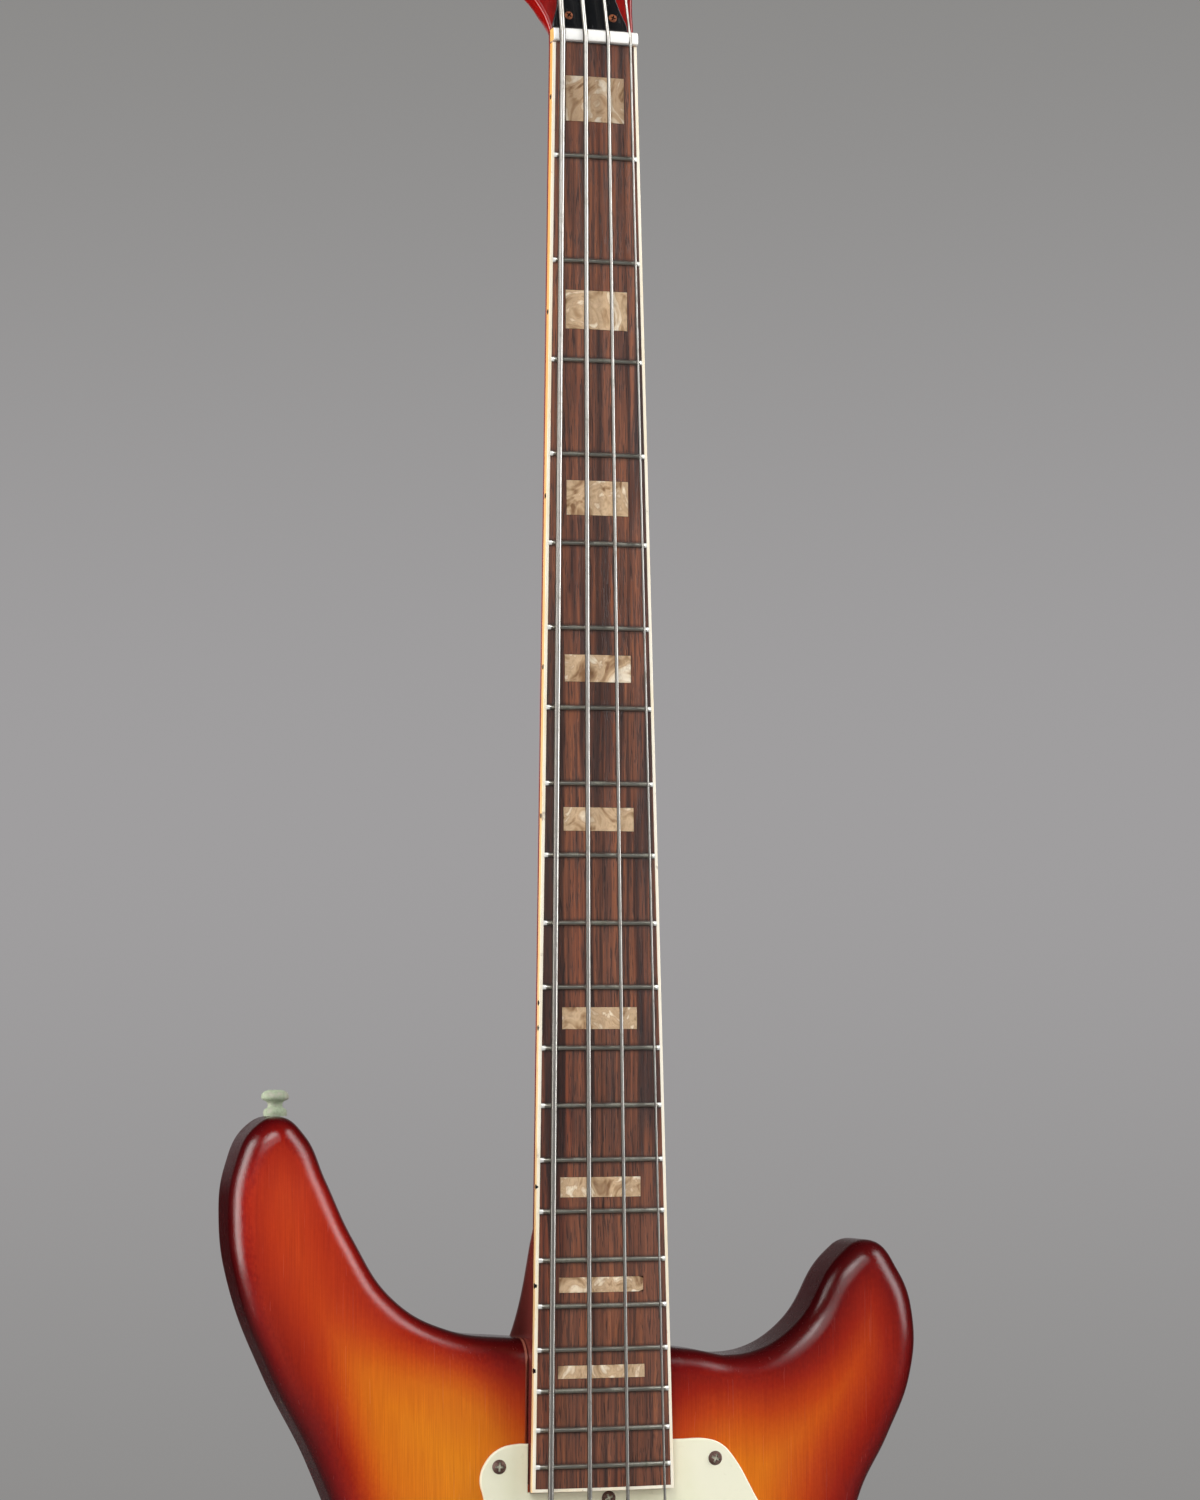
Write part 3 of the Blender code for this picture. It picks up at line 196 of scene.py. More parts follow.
def dress(name, mesh, angle, material, body, *nodes, slot=None):
    """Show a mesh, crisp at edges over an angle: its material, its body, and the CAD nodes."""
    item = put(name, mesh)
    if angle:
        mesh.shade_smooth()
        mesh.set_sharp_from_angle(angle=math.radians(angle))
        item.modifiers.new("weight", "WEIGHTED_NORMAL").keep_sharp = True
        item = put(name, plain(item))
    item.data.materials.clear()
    item.data.materials.append(material)
    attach(item, body)
    if nodes:
        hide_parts(*nodes)
    item.data.calc_loop_triangles()
    print(item.name, "triangles:", len(item.data.loop_triangles))


def loft(rings):
    """A skin over rings that have the same number of points, with both ends filled."""
    work = bmesh.new()
    rows = [[work.verts.new(point) for point in ring] for ring in rings]
    count = len(rows[0])
    for first, second in zip(rows, rows[1:]):
        for i in range(count):
            j = (i + 1) % count
            work.faces.new((first[i], first[j], second[j], second[i]))
    work.faces.new(rows[0])
    work.faces.new(rows[-1])
    return weld(meshed(work))


def lathe(profile, matrix, steps=48):
    """A profile of (radius, height) turned about c, then moved by a matrix."""
    work = bmesh.new()
    chain = [work.verts.new((radius, 0, height)) for radius, height in profile]
    edges = [work.edges.new(pair) for pair in zip(chain, chain[1:])]
    bmesh.ops.spin(work, geom=chain + edges, cent=(0, 0, 0), axis=(0, 0, 1),
                   angle=2 * math.pi, steps=steps)
    bmesh.ops.transform(work, matrix=matrix, verts=work.verts)
    return weld(meshed(work))


def block(low, high, matrix=FACE):
    """A box between two corners of a frame."""
    work = bmesh.new()
    bmesh.ops.create_cube(work, size=1)
    bmesh.ops.scale(work, vec=Vector(high) - Vector(low), verts=work.verts)
    bmesh.ops.translate(work, vec=(Vector(low) + Vector(high)) / 2, verts=work.verts)
    bmesh.ops.transform(work, matrix=matrix, verts=work.verts)
    return meshed(work)


def joined(*meshes):
    """Several meshes as one."""
    work = bmesh.new()
    for mesh in meshes:
        work.from_mesh(mesh)
    return meshed(work)


def carve(mesh, tools, operation="DIFFERENCE", solver="EXACT"):
    """Cut tools from a mesh one after another, or join them to it."""
    item = put("carved", mesh)
    helpers = [put("tool", tool) for tool in tools]
    for helper in helpers:
        step = item.modifiers.new("carve", "BOOLEAN")
        step.object = helper
        step.operation = operation
        step.solver = solver
    result = plain(item)
    for helper in helpers:
        bpy.data.objects.remove(helper)
    return weld(result)


# %% Outline helpers
def put_curve(curve):
    item = bpy.data.objects.new("curve", curve)
    SCENE.collection.objects.link(item)
    return item


def add_spline(curve, outline, smooth):
    """One closed spline; a point with a third entry is a sharp corner."""
    spline = curve.splines.new("BEZIER" if smooth else "POLY")
    points = spline.bezier_points if smooth else spline.points
    points.add(len(outline) - 1)
    for point, place in zip(points, outline):
        if smooth:
            point.co = (place[0], place[1], 0)
            point.handle_left_type = point.handle_right_type = "VECTOR" if len(place) > 2 else "AUTO"
        else:
            point.co = (place[0], place[1], 0, 1)
    spline.use_cyclic_u = True


def slab(outline, low, high, matrix=FACE, edge=0.0, edge_steps=3, holes=(), smooth=False):
    """A flat outline with holes, thick from c = low to c = high, with round edges."""
    curve = bpy.data.curves.new("slab", "CURVE")
    curve.dimensions = "2D"
    curve.fill_mode = "BOTH"
    curve.resolution_u = 12
    curve.extrude = (high - low) / 2 - edge
    curve.bevel_depth = edge
    curve.bevel_resolution = edge_steps
    curve.offset = -edge
    add_spline(curve, outline, smooth)
    for hole in holes:
        add_spline(curve, hole, False)
    mesh = plain(put_curve(curve))
    mesh.transform(matrix @ Matrix.Translation((0, 0, (low + high) / 2)))
    return weld(mesh, 1e-5)


def trace(outline, spacing):
    """The smooth closed outline as evenly spaced (a, b) points."""
    curve = bpy.data.curves.new("trace", "CURVE")
    curve.resolution_u = 32
    add_spline(curve, outline, True)
    path = np.array([vertex.co[:2] for vertex in plain(put_curve(curve)).vertices])
    path = np.vstack((path, path[:1]))
    run = np.concatenate(([0], np.cumsum(np.linalg.norm(np.diff(path, axis=0), axis=1))))
    places = np.linspace(0, run[-1], round(run[-1] / spacing), endpoint=False)
    return np.column_stack([np.interp(places, run, path[:, axis]) for axis in (0, 1)])


def circle(radius, at=(0, 0), steps=40):
    return [(at[0] + radius * math.cos(2 * math.pi * i / steps),
             at[1] + radius * math.sin(2 * math.pi * i / steps)) for i in range(steps)]


def rounded_box(width, length, radius, at=(0, 0)):
    """A rectangle with round corners, as (a, b) points."""
    points = []
    for quarter in range(4):
        side_a = 1 if quarter in (0, 3) else -1
        side_b = 1 if quarter in (0, 1) else -1
        for step in range(9):
            angle = math.pi / 2 * (quarter + step / 8)
            points.append((at[0] + side_a * (width / 2 - radius) + radius * math.cos(angle),
                           at[1] + side_b * (length / 2 - radius) + radius * math.sin(angle)))
    return points


print("helpers ready")

# %% [markdown]
# ## Node groups that several finishes share
# Wood grain, wear and grime show up on almost every surface here. Each is one shader node
# group with named inputs, built once and placed in a material with its own values. A group
# gives masks and heights only; the shader stays in the material. A node's output is held as
# a `Signal`, which is written like a number, so that a mask reads as the product it is.

# %% Signals
class Signal:
    """A node's output, to be added, multiplied and mapped like a number."""

    def __init__(self, socket):
        self.socket = socket
        self.tree = socket.id_data

    def math(self, operation, *others):
        return signal(self.tree, "ShaderNodeMath", dict(enumerate((self, *others))),
                      operation=operation)

    def __add__(self, other):
        return self.math("ADD", other)

    def __sub__(self, other):
        return self.math("SUBTRACT", other)

    def __rsub__(self, other):
        return signal(self.tree, "ShaderNodeMath", {0: other, 1: self}, operation="SUBTRACT")

    def __mul__(self, other):
        return self.math("MULTIPLY", other)

    def __truediv__(self, other):
        return self.math("DIVIDE", other)

    def __pow__(self, other):
        return self.math("POWER", other)

    def __rpow__(self, other):
        return signal(self.tree, "ShaderNodeMath", {0: other, 1: self}, operation="POWER")

    def __abs__(self):
        return self.math("ABSOLUTE")

    def most(self, other):
        return self.math("MAXIMUM", other)

    def spread(self, low, high, to_low=0.0, to_high=1.0, smooth=True):
        """A value mapped from one range to another."""
        return signal(self.tree, "ShaderNodeMapRange", {
            0: self, 1: low, 2: high, 3: to_low, 4: to_high},
            interpolation_type="SMOOTHSTEP" if smooth else "LINEAR")

    def even(self, low, high, to_low, to_high):
        """A value mapped in a straight line."""
        return self.spread(low, high, to_low, to_high, False)

    def ramp(self, *stops):
        """Colours by rising stops of (position, red, green, blue)."""
        node = add(self.tree, "ShaderNodeValToRGB", {0: self})
        elements = node.color_ramp.elements
        for index, (position, *color) in enumerate((stops[0], stops[-1], *stops[1:-1])):
            element = elements[index] if index < 2 else elements.new(position)
            element.position = position
            element.color = sRGB(*color)
        return Signal(node.outputs[0])

    def noise(self, scale=1.0, detail=4.0, roughness=0.55, distortion=0.0):
        return signal(self.tree, "ShaderNodeTexNoise", {
            "Vector": self, "Scale": scale, "Detail": detail, "Roughness": roughness,
            "Distortion": distortion})


def link(value, socket):
    """Feed a socket with a value or with a signal."""
    if isinstance(value, Signal):
        value.tree.links.new(value.socket, socket)
    else:
        socket.default_value = value


def add(tree, kind, feeds=None, **settings):
    """A node with its settings, fed by values or by signals."""
    node = tree.nodes.new(kind)
    for key, value in settings.items():
        setattr(node, key, value)
    for key, value in (feeds or {}).items():
        link(value, node.inputs[key])
    return node


def signal(tree, kind, feeds=None, output=0, **settings):
    """One output of a new node."""
    return Signal(add(tree, kind, feeds, **settings).outputs[output])


def sRGB(red, green, blue):
    """A colour as a picture shows it, 0 to 255, turned into the light that it stands for."""
    linear = [c / 12.92 if c <= 0.04045 else ((c + 0.055) / 1.055) ** 2.4
              for c in (red / 255, green / 255, blue / 255)]
    return (*linear, 1)


def blend(factor, first, second, kind="MIX"):
    """Two colours mixed by a factor, one of which at least is a signal."""
    tree = next(value.tree for value in (factor, first, second) if isinstance(value, Signal))
    return signal(tree, "ShaderNodeMix", {0: factor, 6: first, 7: second}, 2,
                  data_type="RGBA", blend_type=kind)


def vector(tree, x=0.0, y=0.0, z=0.0):
    return signal(tree, "ShaderNodeCombineXYZ", {0: x, 1: y, 2: z})


def axes(place):
    """The x, y and z of a vector."""
    return [Signal(socket) for socket in add(place.tree, "ShaderNodeSeparateXYZ", {0: place}).outputs]


def coordinates(tree, kind="Object"):
    return signal(tree, "ShaderNodeTexCoord", output=kind)


def stretched(tree, scale, turn=(0, 0, 0)):
    """Object coordinates, scaled apart along the three axes."""
    return signal(tree, "ShaderNodeMapping", {0: coordinates(tree), 2: turn, 3: scale})


def attribute(tree, name):
    return signal(tree, "ShaderNodeAttribute", output="Fac", attribute_name=name)


# %% Grain and wear
def new_group(name, **inputs):
    """An empty shader group and its inputs as signals."""
    tree = bpy.data.node_groups.new(name, "ShaderNodeTree")
    for label, value in inputs.items():
        tree.interface.new_socket(label, in_out="INPUT",
                                  socket_type="NodeSocketFloat").default_value = value
    given = tree.nodes.new("NodeGroupInput").outputs
    return tree, {label: Signal(given[label]) for label in inputs}


def close_group(tree, **outputs):
    """The group with its outputs named and fed."""
    for label in outputs:
        tree.interface.new_socket(label, in_out="OUTPUT", socket_type="NodeSocketFloat")
    result = tree.nodes.new("NodeGroupOutput").inputs
    for label, value in outputs.items():
        link(value, result[label])
    return tree


def use(tree, group, **values):
    """Place a group in a material; returns its outputs by name."""
    node = add(tree, "ShaderNodeGroup", values, node_tree=group)
    return {socket.name: Signal(socket) for socket in node.outputs}


def make_grain():
    """Long fibres, broad bands and short pores, all along the neck's direction."""
    tree, given = new_group("wood_grain", Fibre=900.0, Length=14.0, Warp=0.004)
    where = coordinates(tree)
    shift = (where.noise(9.0, 2.0) - 0.5) * given["Warp"]
    x, y, z = axes(where)
    fibre = vector(tree, (x + shift) * given["Fibre"], (y + shift) * given["Fibre"],
                   z * given["Length"])
    wide, short = [signal(tree, "ShaderNodeVectorMath", {0: fibre, 1: scale}, operation="MULTIPLY")
                   for scale in ((0.16, 0.16, 0.3), (2.7, 2.7, 7.0))]
    fibres = fibre.noise(1.0, 5.0, 0.6)
    pores = short.noise(1.0, 2.0, 0.5).spread(0.55, 0.62)
    return close_group(tree, Fibres=fibres, Bands=wide.noise(1.0, 3.0, 0.5, 0.4), Pores=pores,
                       Height=fibres - pores)


def make_wear():
    """Fine scratches in all directions, soft smudges, and small knocks."""
    tree, given = new_group("handling_wear", Scale=1.0)
    where = signal(tree, "ShaderNodeVectorMath", {0: coordinates(tree), 3: given["Scale"]},
                   operation="SCALE")
    lines = [signal(tree, "ShaderNodeMapping", {0: where, 2: turn, 3: (620.0, 620.0, 16.0)})
             .noise(1.0, 2.0).spread(0.68, 0.74)
             for turn in ((0.3, 0.5, 0.2), (1.2, 0.1, 0.9), (0.1, 1.4, 0.6))]
    cells = signal(tree, "ShaderNodeTexVoronoi", {"Vector": where, "Scale": 130.0})
    few = where.noise(40.0, 2.0).spread(0.62, 0.70)
    return close_group(tree, Scratches=lines[0].most(lines[1]).most(lines[2]),
                       Smudges=where.noise(26.0, 5.0, 0.65), Knocks=cells.spread(0.10, 0.04) * few)


GRAIN = make_grain()
WEAR = make_wear()
print("shared groups:", GRAIN.name, WEAR.name)


# %% A material to start from, and how it ends
def paint(material, relief=None, **values):
    """Feed the shader's sockets, which are called by name; relief is height, strength, depth."""
    shader = material.node_tree.nodes["Principled BSDF"].inputs
    if relief:
        values["Normal"] = signal(material.node_tree, "ShaderNodeBump", {
            "Height": relief[0], "Strength": relief[1], "Distance": relief[2]})
    for key, value in values.items():
        link(value, shader[key.replace("_", " ")])
    return material


def new_material(name, **constants):
    """A Principled material with constants on its sockets, and its tree."""
    material = bpy.data.materials.new(name)
    material.use_nodes = True
    return paint(material, **constants), material.node_tree


print("material helpers ready")

# %% [markdown]
# ## The sunburst
# A sprayer fades amber into red and nearly black towards the rim. The body carries the
# distance to its own outline, `rim`, in millimetres at every point, so the burst follows
# the horns as a spray gun does. A noise unsettles the fade, the bands of the wood show
# through, and the lacquer has fine scratches and dull patches. Next to the neck the face is
# darker, a dark joint line and painted shade, and a pale painted highlight runs along the
# pocket's rounded edge.

# %% Sunburst lacquer
def make_sunburst():
    material, tree = new_material("sunburst_lacquer", Roughness=0.3, Specular_IOR_Level=0.42)
    rim = attribute(tree, "rim")
    grain = use(tree, GRAIN, Fibre=2600.0, Length=42.0, Warp=0.001)
    wear = use(tree, WEAR, Scale=1.0)
    x, y, z = axes(coordinates(tree))
    cloud = stretched(tree, (14, 14, 9)).noise(1.0, 3.0).even(0.2, 0.8, -3.5, 3.5)
    speckle = stretched(tree, (700, 700, 500)).noise(1.0, 2.0).even(0.25, 0.75, -1.4, 1.4)
    drift = rim + (cloud + speckle) * rim.spread(0.0, 9.0)
    from_neck = abs(x)
    # Darker next to the neck: a narrow dark joint line at the pocket, and a wider painted shade along the
    # raised neck.
    joint_line_and_shade = from_neck.spread(0.029, 0.066, 0.42, 1.0) * from_neck.spread(0.0285, 0.0325, 0.4, 1.0)
    joint_line_and_shade = joint_line_and_shade.most(z.spread(-0.60, -0.70)).most(y.spread(0.020, 0.036))
    treble = x.spread(-0.02, 0.10, 1.0, 0.5)
    tip = z.spread(-0.58, -0.48, 1.0, 0.5)
    waist = x.spread(-0.13, -0.086, 0.45, 1.0).most(z.spread(-0.70, -0.80))
    # The burst's fade, with the joint line and painted shade next to the neck multiplied in.
    sprayed_and_shaded = drift * treble * tip * joint_line_and_shade * waist
    color = sprayed_and_shaded.even(0.0, 70.0, 0.0, 1.0).ramp(
        (0.0, 50, 3, 5), (0.012, 70, 6, 8), (0.055, 113, 14, 11), (0.115, 150, 32, 12),
        (0.19, 182, 61, 14), (0.27, 201, 89, 17), (0.37, 213, 111, 19), (0.70, 222, 127, 21),
        (1.0, 226, 136, 24))
    deep = drift * z.spread(-0.495, -0.468, 1.0, 0.45)
    red = deep.even(0.0, 70.0, 0.0, 1.0).ramp(
        (0.0, 50, 3, 5), (0.012, 74, 6, 8), (0.05, 134, 20, 13), (0.09, 166, 40, 18),
        (0.22, 184, 54, 20), (0.5, 200, 72, 22))
    color = blend(z.spread(-0.60, -0.50) * x.spread(-0.04, -0.09), color, red)
    # A pale pinkish line along the neck pocket's left edge: painted highlight on its rounded edge, partly
    # wear.
    from_pocket = from_neck - z.math("MULTIPLY_ADD", -0.01966, 0.01925)
    lip_wear_and_highlight = from_pocket.spread(0.0008, 0.0013, 1.0, 0.0) * (
        x.spread(0.0, -0.01) * z.spread(-0.63, -0.61))
    lip_wear_and_highlight = lip_wear_and_highlight * wear["Smudges"].spread(0.3, 0.55, 0.4, 0.9) * y.spread(0.020, 0.030, 1.0, 0.0)
    color = blend(lip_wear_and_highlight, color, sRGB(166, 98, 78))
    tone = grain["Fibres"].even(0.3, 0.7, 0.86, 1.10) * grain["Bands"].even(0.3, 0.7, 0.97, 1.03)
    shade = signal(tree, "ShaderNodeCombineColor", {0: tone, 1: tone ** 1.6, 2: tone})
    color = blend(1.0, color, shade, "MULTIPLY")
    color = blend(wear["Knocks"] * 0.6, color, sRGB(196, 158, 118))
    height = grain["Height"] - wear["Scratches"] * 0.6 - wear["Knocks"] * 4.0
    return paint(material, (height, 0.10, 0.0004), Base_Color=color, Roughness=wear[
        "Smudges"].even(0.35, 0.7, 0.14, 0.27) + wear["Scratches"] * 0.12)


SUNBURST = make_sunburst()
print("material:", SUNBURST.name)


# %% [markdown]
# ## The neck's finish, the board and its pearl
# The neck and headstock are red under a clear coat. Towards the heel a greyish brown is
# painted over the red: painted shade and a painted reflection on the heel's flank. Rosewood is
# a dark, open-pored wood with near-black streaks. The pearl is celluloid: folded sheets of
# cream and brown with a silky shift of tone.

# %% Wood and pearl
def make_cherry():
    material, tree = new_material("cherry_lacquer", Roughness=0.28, Coat_Roughness=0.1)
    grain = use(tree, GRAIN, Fibre=1100.0, Length=12.0, Warp=0.002)
    wear = use(tree, WEAR, Scale=1.3)
    height = axes(coordinates(tree))[2]
    color = grain["Fibres"].ramp((0.3, 122, 9, 9), (0.7, 168, 20, 13))
    color = blend(grain["Bands"].spread(0.4, 0.65, 0.0, 0.3), color, sRGB(98, 8, 10))
    # Painted shade and a greyish painted reflection towards the heel.
    color = blend(height.spread(-0.44, -0.53, 0.0, 0.7), color, sRGB(98, 54, 48))
    color = blend(wear["Knocks"] * 0.7, color, sRGB(150, 104, 70))
    return paint(material, (grain["Height"] - wear["Scratches"], 0.08, 0.0004), Base_Color=color,
                 Roughness=wear["Smudges"].even(0.35, 0.7, 0.15, 0.27),
                 Coat_Weight=wear["Smudges"].even(0.3, 0.7, 0.16, 0.04))


def make_rosewood():
    material, tree = new_material("rosewood", Roughness=0.5)
    grain = use(tree, GRAIN, Fibre=760.0, Length=16.0, Warp=0.002)
    wear = use(tree, WEAR, Scale=1.6)
    base = grain["Fibres"].ramp((0.25, 54, 28, 20), (0.42, 96, 57, 42), (0.58, 132, 77, 51),
                                (0.85, 172, 104, 62))
    base = blend(grain["Bands"].spread(0.47, 0.60, 0.0, 0.8), base, sRGB(50, 31, 28))
    red = stretched(tree, (60, 60, 7)).noise(1.0, 2.0).spread(0.5, 0.7, 0.0, 0.5)
    base = blend(red, base, sRGB(132, 66, 44), "SOFT_LIGHT")
    base = blend(grain["Pores"] * 0.65, base, sRGB(28, 16, 14))
    # Darker in a narrow band on both sides of each fret.
    base = blend(attribute(tree, "grime") * 0.7, base, sRGB(30, 20, 17))
    return paint(material, (grain["Fibres"] - grain["Pores"] * 1.5, 0.35, 0.0003),
                 Base_Color=base, Roughness=wear["Smudges"].even(0.3, 0.7, 0.40, 0.62))


def make_pearl():
    material, tree = new_material("pearl_celluloid", Roughness=0.24, Coat_Roughness=0.1)
    tone = attribute(tree, "tone")
    place = signal(tree, "ShaderNodeVectorMath", {
        0: stretched(tree, (78, 78, 62), (0, 0.6, 0)), 1: vector(tree, y=tone * 31.0)})
    folds = place.noise(1.0, 2.5, 0.5, 2.6)
    silk = place.noise(4.2, 4.0, 0.6, 1.6)
    color = folds.ramp((0.30, 136, 101, 72), (0.39, 182, 149, 113), (0.48, 216, 186, 150),
                       (0.56, 194, 161, 125), (0.62, 232, 210, 178), (0.70, 250, 236, 212))
    color = blend(tone.spread(0.0, 0.08, 0.35, 0.0), color, sRGB(112, 86, 66))
    color = blend(silk.spread(0.45, 0.65, 0.0, 0.3), color, sRGB(170, 138, 110))
    return paint(material, (folds, 0.05, 0.0004), Base_Color=color,
                 Roughness=folds.even(0.3, 0.7, 0.16, 0.38), Coat_Weight=silk.even(0.3, 0.7, 0.2, 0.6))


CHERRY = make_cherry()
ROSEWOOD = make_rosewood()
PEARL = make_pearl()
print("materials:", CHERRY.name, ROSEWOOD.name, PEARL.name)


# %% [markdown]
# ## Plastic, bone and celluloid
# The guard has the pale green-cream of old plastic, the nut is nearly white, and the
# binding is cream on top and has yellowed to orange down its sides, where hands oil it.

# %% Plastics
def make_plastic(name, clean, aged, roughness, stain, ends=None):
    """Moulded plastic with cloudy ageing, stains and fine scratches, and oiled ends."""
    material, tree = new_material(name, Roughness=roughness, Coat_Roughness=0.12)
    wear = use(tree, WEAR, Scale=1.5)
    cloud = stretched(tree, (30, 30, 30)).noise(1.0, 4.0)
    marks = stretched(tree, (160, 160, 160)).noise(1.0, 5.0, 0.7).spread(0.6, 0.75)
    color = blend(cloud.spread(0.35, 0.7, 0.0, 0.8), clean, aged)
    color = blend(marks * stain, color, sRGB(96, 74, 50))
    if ends:
        sideways = abs(axes(coordinates(tree, "Normal"))[0])
        color = blend(sideways.spread(0.5, 0.85), color, ends)
    rough = wear["Smudges"].even(0.3, 0.7, roughness - 0.06, roughness + 0.12)
    return paint(material, (wear["Scratches"] + cloud * 2.0, 0.06, 0.0003), Base_Color=color,
                 Roughness=rough + wear["Scratches"] * 0.2,
                 Coat_Weight=cloud.even(0.3, 0.7, 0.3, 0.1))


def make_binding():
    """Cream celluloid: its top stays pale, its sides turn orange, brown specks cling to it."""
    material, tree = new_material("binding_celluloid", Roughness=0.32)
    outward = axes(coordinates(tree, "Normal"))[1]
    height = axes(coordinates(tree))[2]
    patch = stretched(tree, (90, 90, 26)).noise(1.0, 4.0)
    dirt = stretched(tree, (420, 420, 150)).noise(1.0, 4.0, 0.7).spread(0.62, 0.72)
    top = blend(patch.spread(0.4, 0.7), sRGB(250, 242, 222), sRGB(244, 228, 194))
    flank = blend(height.even(-0.5, -0.02, 0.1, 1.0), sRGB(238, 206, 154), sRGB(230, 170, 92))
    flank = blend(patch.spread(0.4, 0.7, 0.0, 0.6), flank, sRGB(224, 166, 92))
    color = blend(outward.spread(-0.85, -0.35), top, flank)
    color = blend(dirt * 0.5, color, sRGB(128, 88, 52))
    return paint(material, (patch, 0.04, 0.0003), Base_Color=color,
                 Roughness=patch.even(0.3, 0.7, 0.26, 0.42))


GUARD_PLASTIC = make_plastic("guard_plastic", sRGB(243, 240, 214), sRGB(234, 233, 200), 0.3, 0.08)
NUT_BONE = make_plastic("nut_bone", sRGB(252, 251, 247), sRGB(247, 244, 236), 0.34, 0.06,
                        ends=sRGB(232, 182, 104))
IVORY = make_plastic("switch_ivory", sRGB(238, 230, 200), sRGB(222, 208, 168), 0.3, 0.1)
BLACK = make_plastic("black_plastic", sRGB(15, 16, 18), sRGB(24, 25, 28), 0.2, 0.05)
BINDING = make_binding()
print("plastics made")


# %% [markdown]
# ## Metals
# Frets and strings are nickel-silver and nickel-wound steel; the frets' filed ends are bright.
# The chrome is old: bright, with a brownish bloom. Screws have rusted brown, and the strap
# button has grown a green crust of copper salts.

# %% Metals
def make_metal(name, clean, aged, low, high, bloom=(0.45, 0.7), pits=0.3, filed=None, flank_shade=None):
    """Metal, clean to tarnished in patches; filed spots are bright, and the sides that face left or right
    can get a painted shade.
    """
    material, tree = new_material(name, Roughness=low, Metallic=1.0)
    wear = use(tree, WEAR, Scale=3.0)
    patch = stretched(tree, (120.0,) * 3).noise(1.0, 6.0, 0.65)
    spots = stretched(tree, (1080.0,) * 3).noise(1.0, 3.0).spread(0.62, 0.70)
    old = patch.spread(*bloom).most(spots * pits)
    color = blend(old, clean, aged)
    shine = old.even(0.0, 1.0, 1.0, 0.72)
    if filed:
        mask = attribute(tree, "filed").spread(0.02, 0.12)
        color = blend(mask, color, filed)
        shine = shine * mask.spread(0.0, 1.0, 1.0, 0.4)
    # Painted shade: the sides of the metal that face left or right are darkened.
    if flank_shade:
        sideways = abs(axes(coordinates(tree, "Normal"))[0])
        color = blend(sideways.spread(0.42, 0.9), color, flank_shade)
    return paint(material, (patch * 0.5 - (wear["Scratches"] + spots), 0.08, 0.0002),
                 Base_Color=color, Metallic=shine,
                 Roughness=old.even(0.0, 1.0, low, high) + wear["Scratches"] * 0.12)


def make_crust(name, clean, crust, share):
    """A corroded surface: dull crust over metal, matt and rough where it is thick, with painted shade
    where a screw head is cut.
    """
    material, tree = new_material(name, Roughness=0.6)
    thick = stretched(tree, (260,) * 3).noise(1.0, 6.0, 0.7).spread(share - 0.12, share + 0.12)
    shade = stretched(tree, (900,) * 3).noise(1.0, 4.0, 0.7)
    pale = blend(shade.spread(0.3, 0.7), crust, [c * 1.35 for c in crust[:3]] + [1])
    # Painted shade: near black inside the cut of a screw head.
    color = blend(attribute(tree, "recess"), blend(thick, clean, pale), sRGB(16, 11, 10))
    return paint(material, (thick * 1.2 + shade, 0.5, 0.00015), Base_Color=color,
                 Metallic=thick.even(0.0, 1.0, 0.25, 0.0), Roughness=thick.even(0.0, 1.0, 0.6, 0.9))


FRET_METAL = make_metal("fret_nickel_silver", sRGB(206, 204, 192), sRGB(150, 149, 134), 0.3, 0.5,
                        (0.46, 0.68), filed=sRGB(232, 232, 226))
# The strings get painted shade down their left and right sides.
STRING_METAL = make_metal("string_nickel", sRGB(204, 201, 194), sRGB(160, 153, 142), 0.34, 0.44,
                          (0.5, 0.75), 0.15, flank_shade=sRGB(84, 80, 75))
CHROME = make_metal("old_chrome", sRGB(214, 213, 210), sRGB(132, 118, 98), 0.12, 0.42, (0.55, 0.8))
STEEL = make_metal("steel", sRGB(172, 170, 166), sRGB(104, 92, 78), 0.28, 0.5)
BRASS = make_metal("brass", sRGB(196, 164, 92), sRGB(110, 84, 48), 0.28, 0.5)
COPPER = make_metal("copper_wire", sRGB(160, 74, 46), sRGB(92, 42, 30), 0.35, 0.5, (0.4, 0.7))
RUST = make_crust("rusted_screw", sRGB(122, 94, 84), sRGB(78, 54, 46), 0.48)
COPPER_SCREW = make_crust("copper_screw", sRGB(186, 108, 64), sRGB(104, 54, 32), 0.5)
VERDIGRIS = make_crust("green_crust", sRGB(168, 166, 150), sRGB(138, 148, 124), 0.44)
print("metals made")

# %% [markdown]
# ## The body
# One slab of wood, 44 mm thick, with its edges rounded over by 12 mm. It could be a bevelled
# curve, but the burst needs points all over the face to carry the distance to the rim. So
# the round edge is laid ring by ring inside the outline, and each flat face is a grid of
# triangles that ends exactly on the innermost ring.

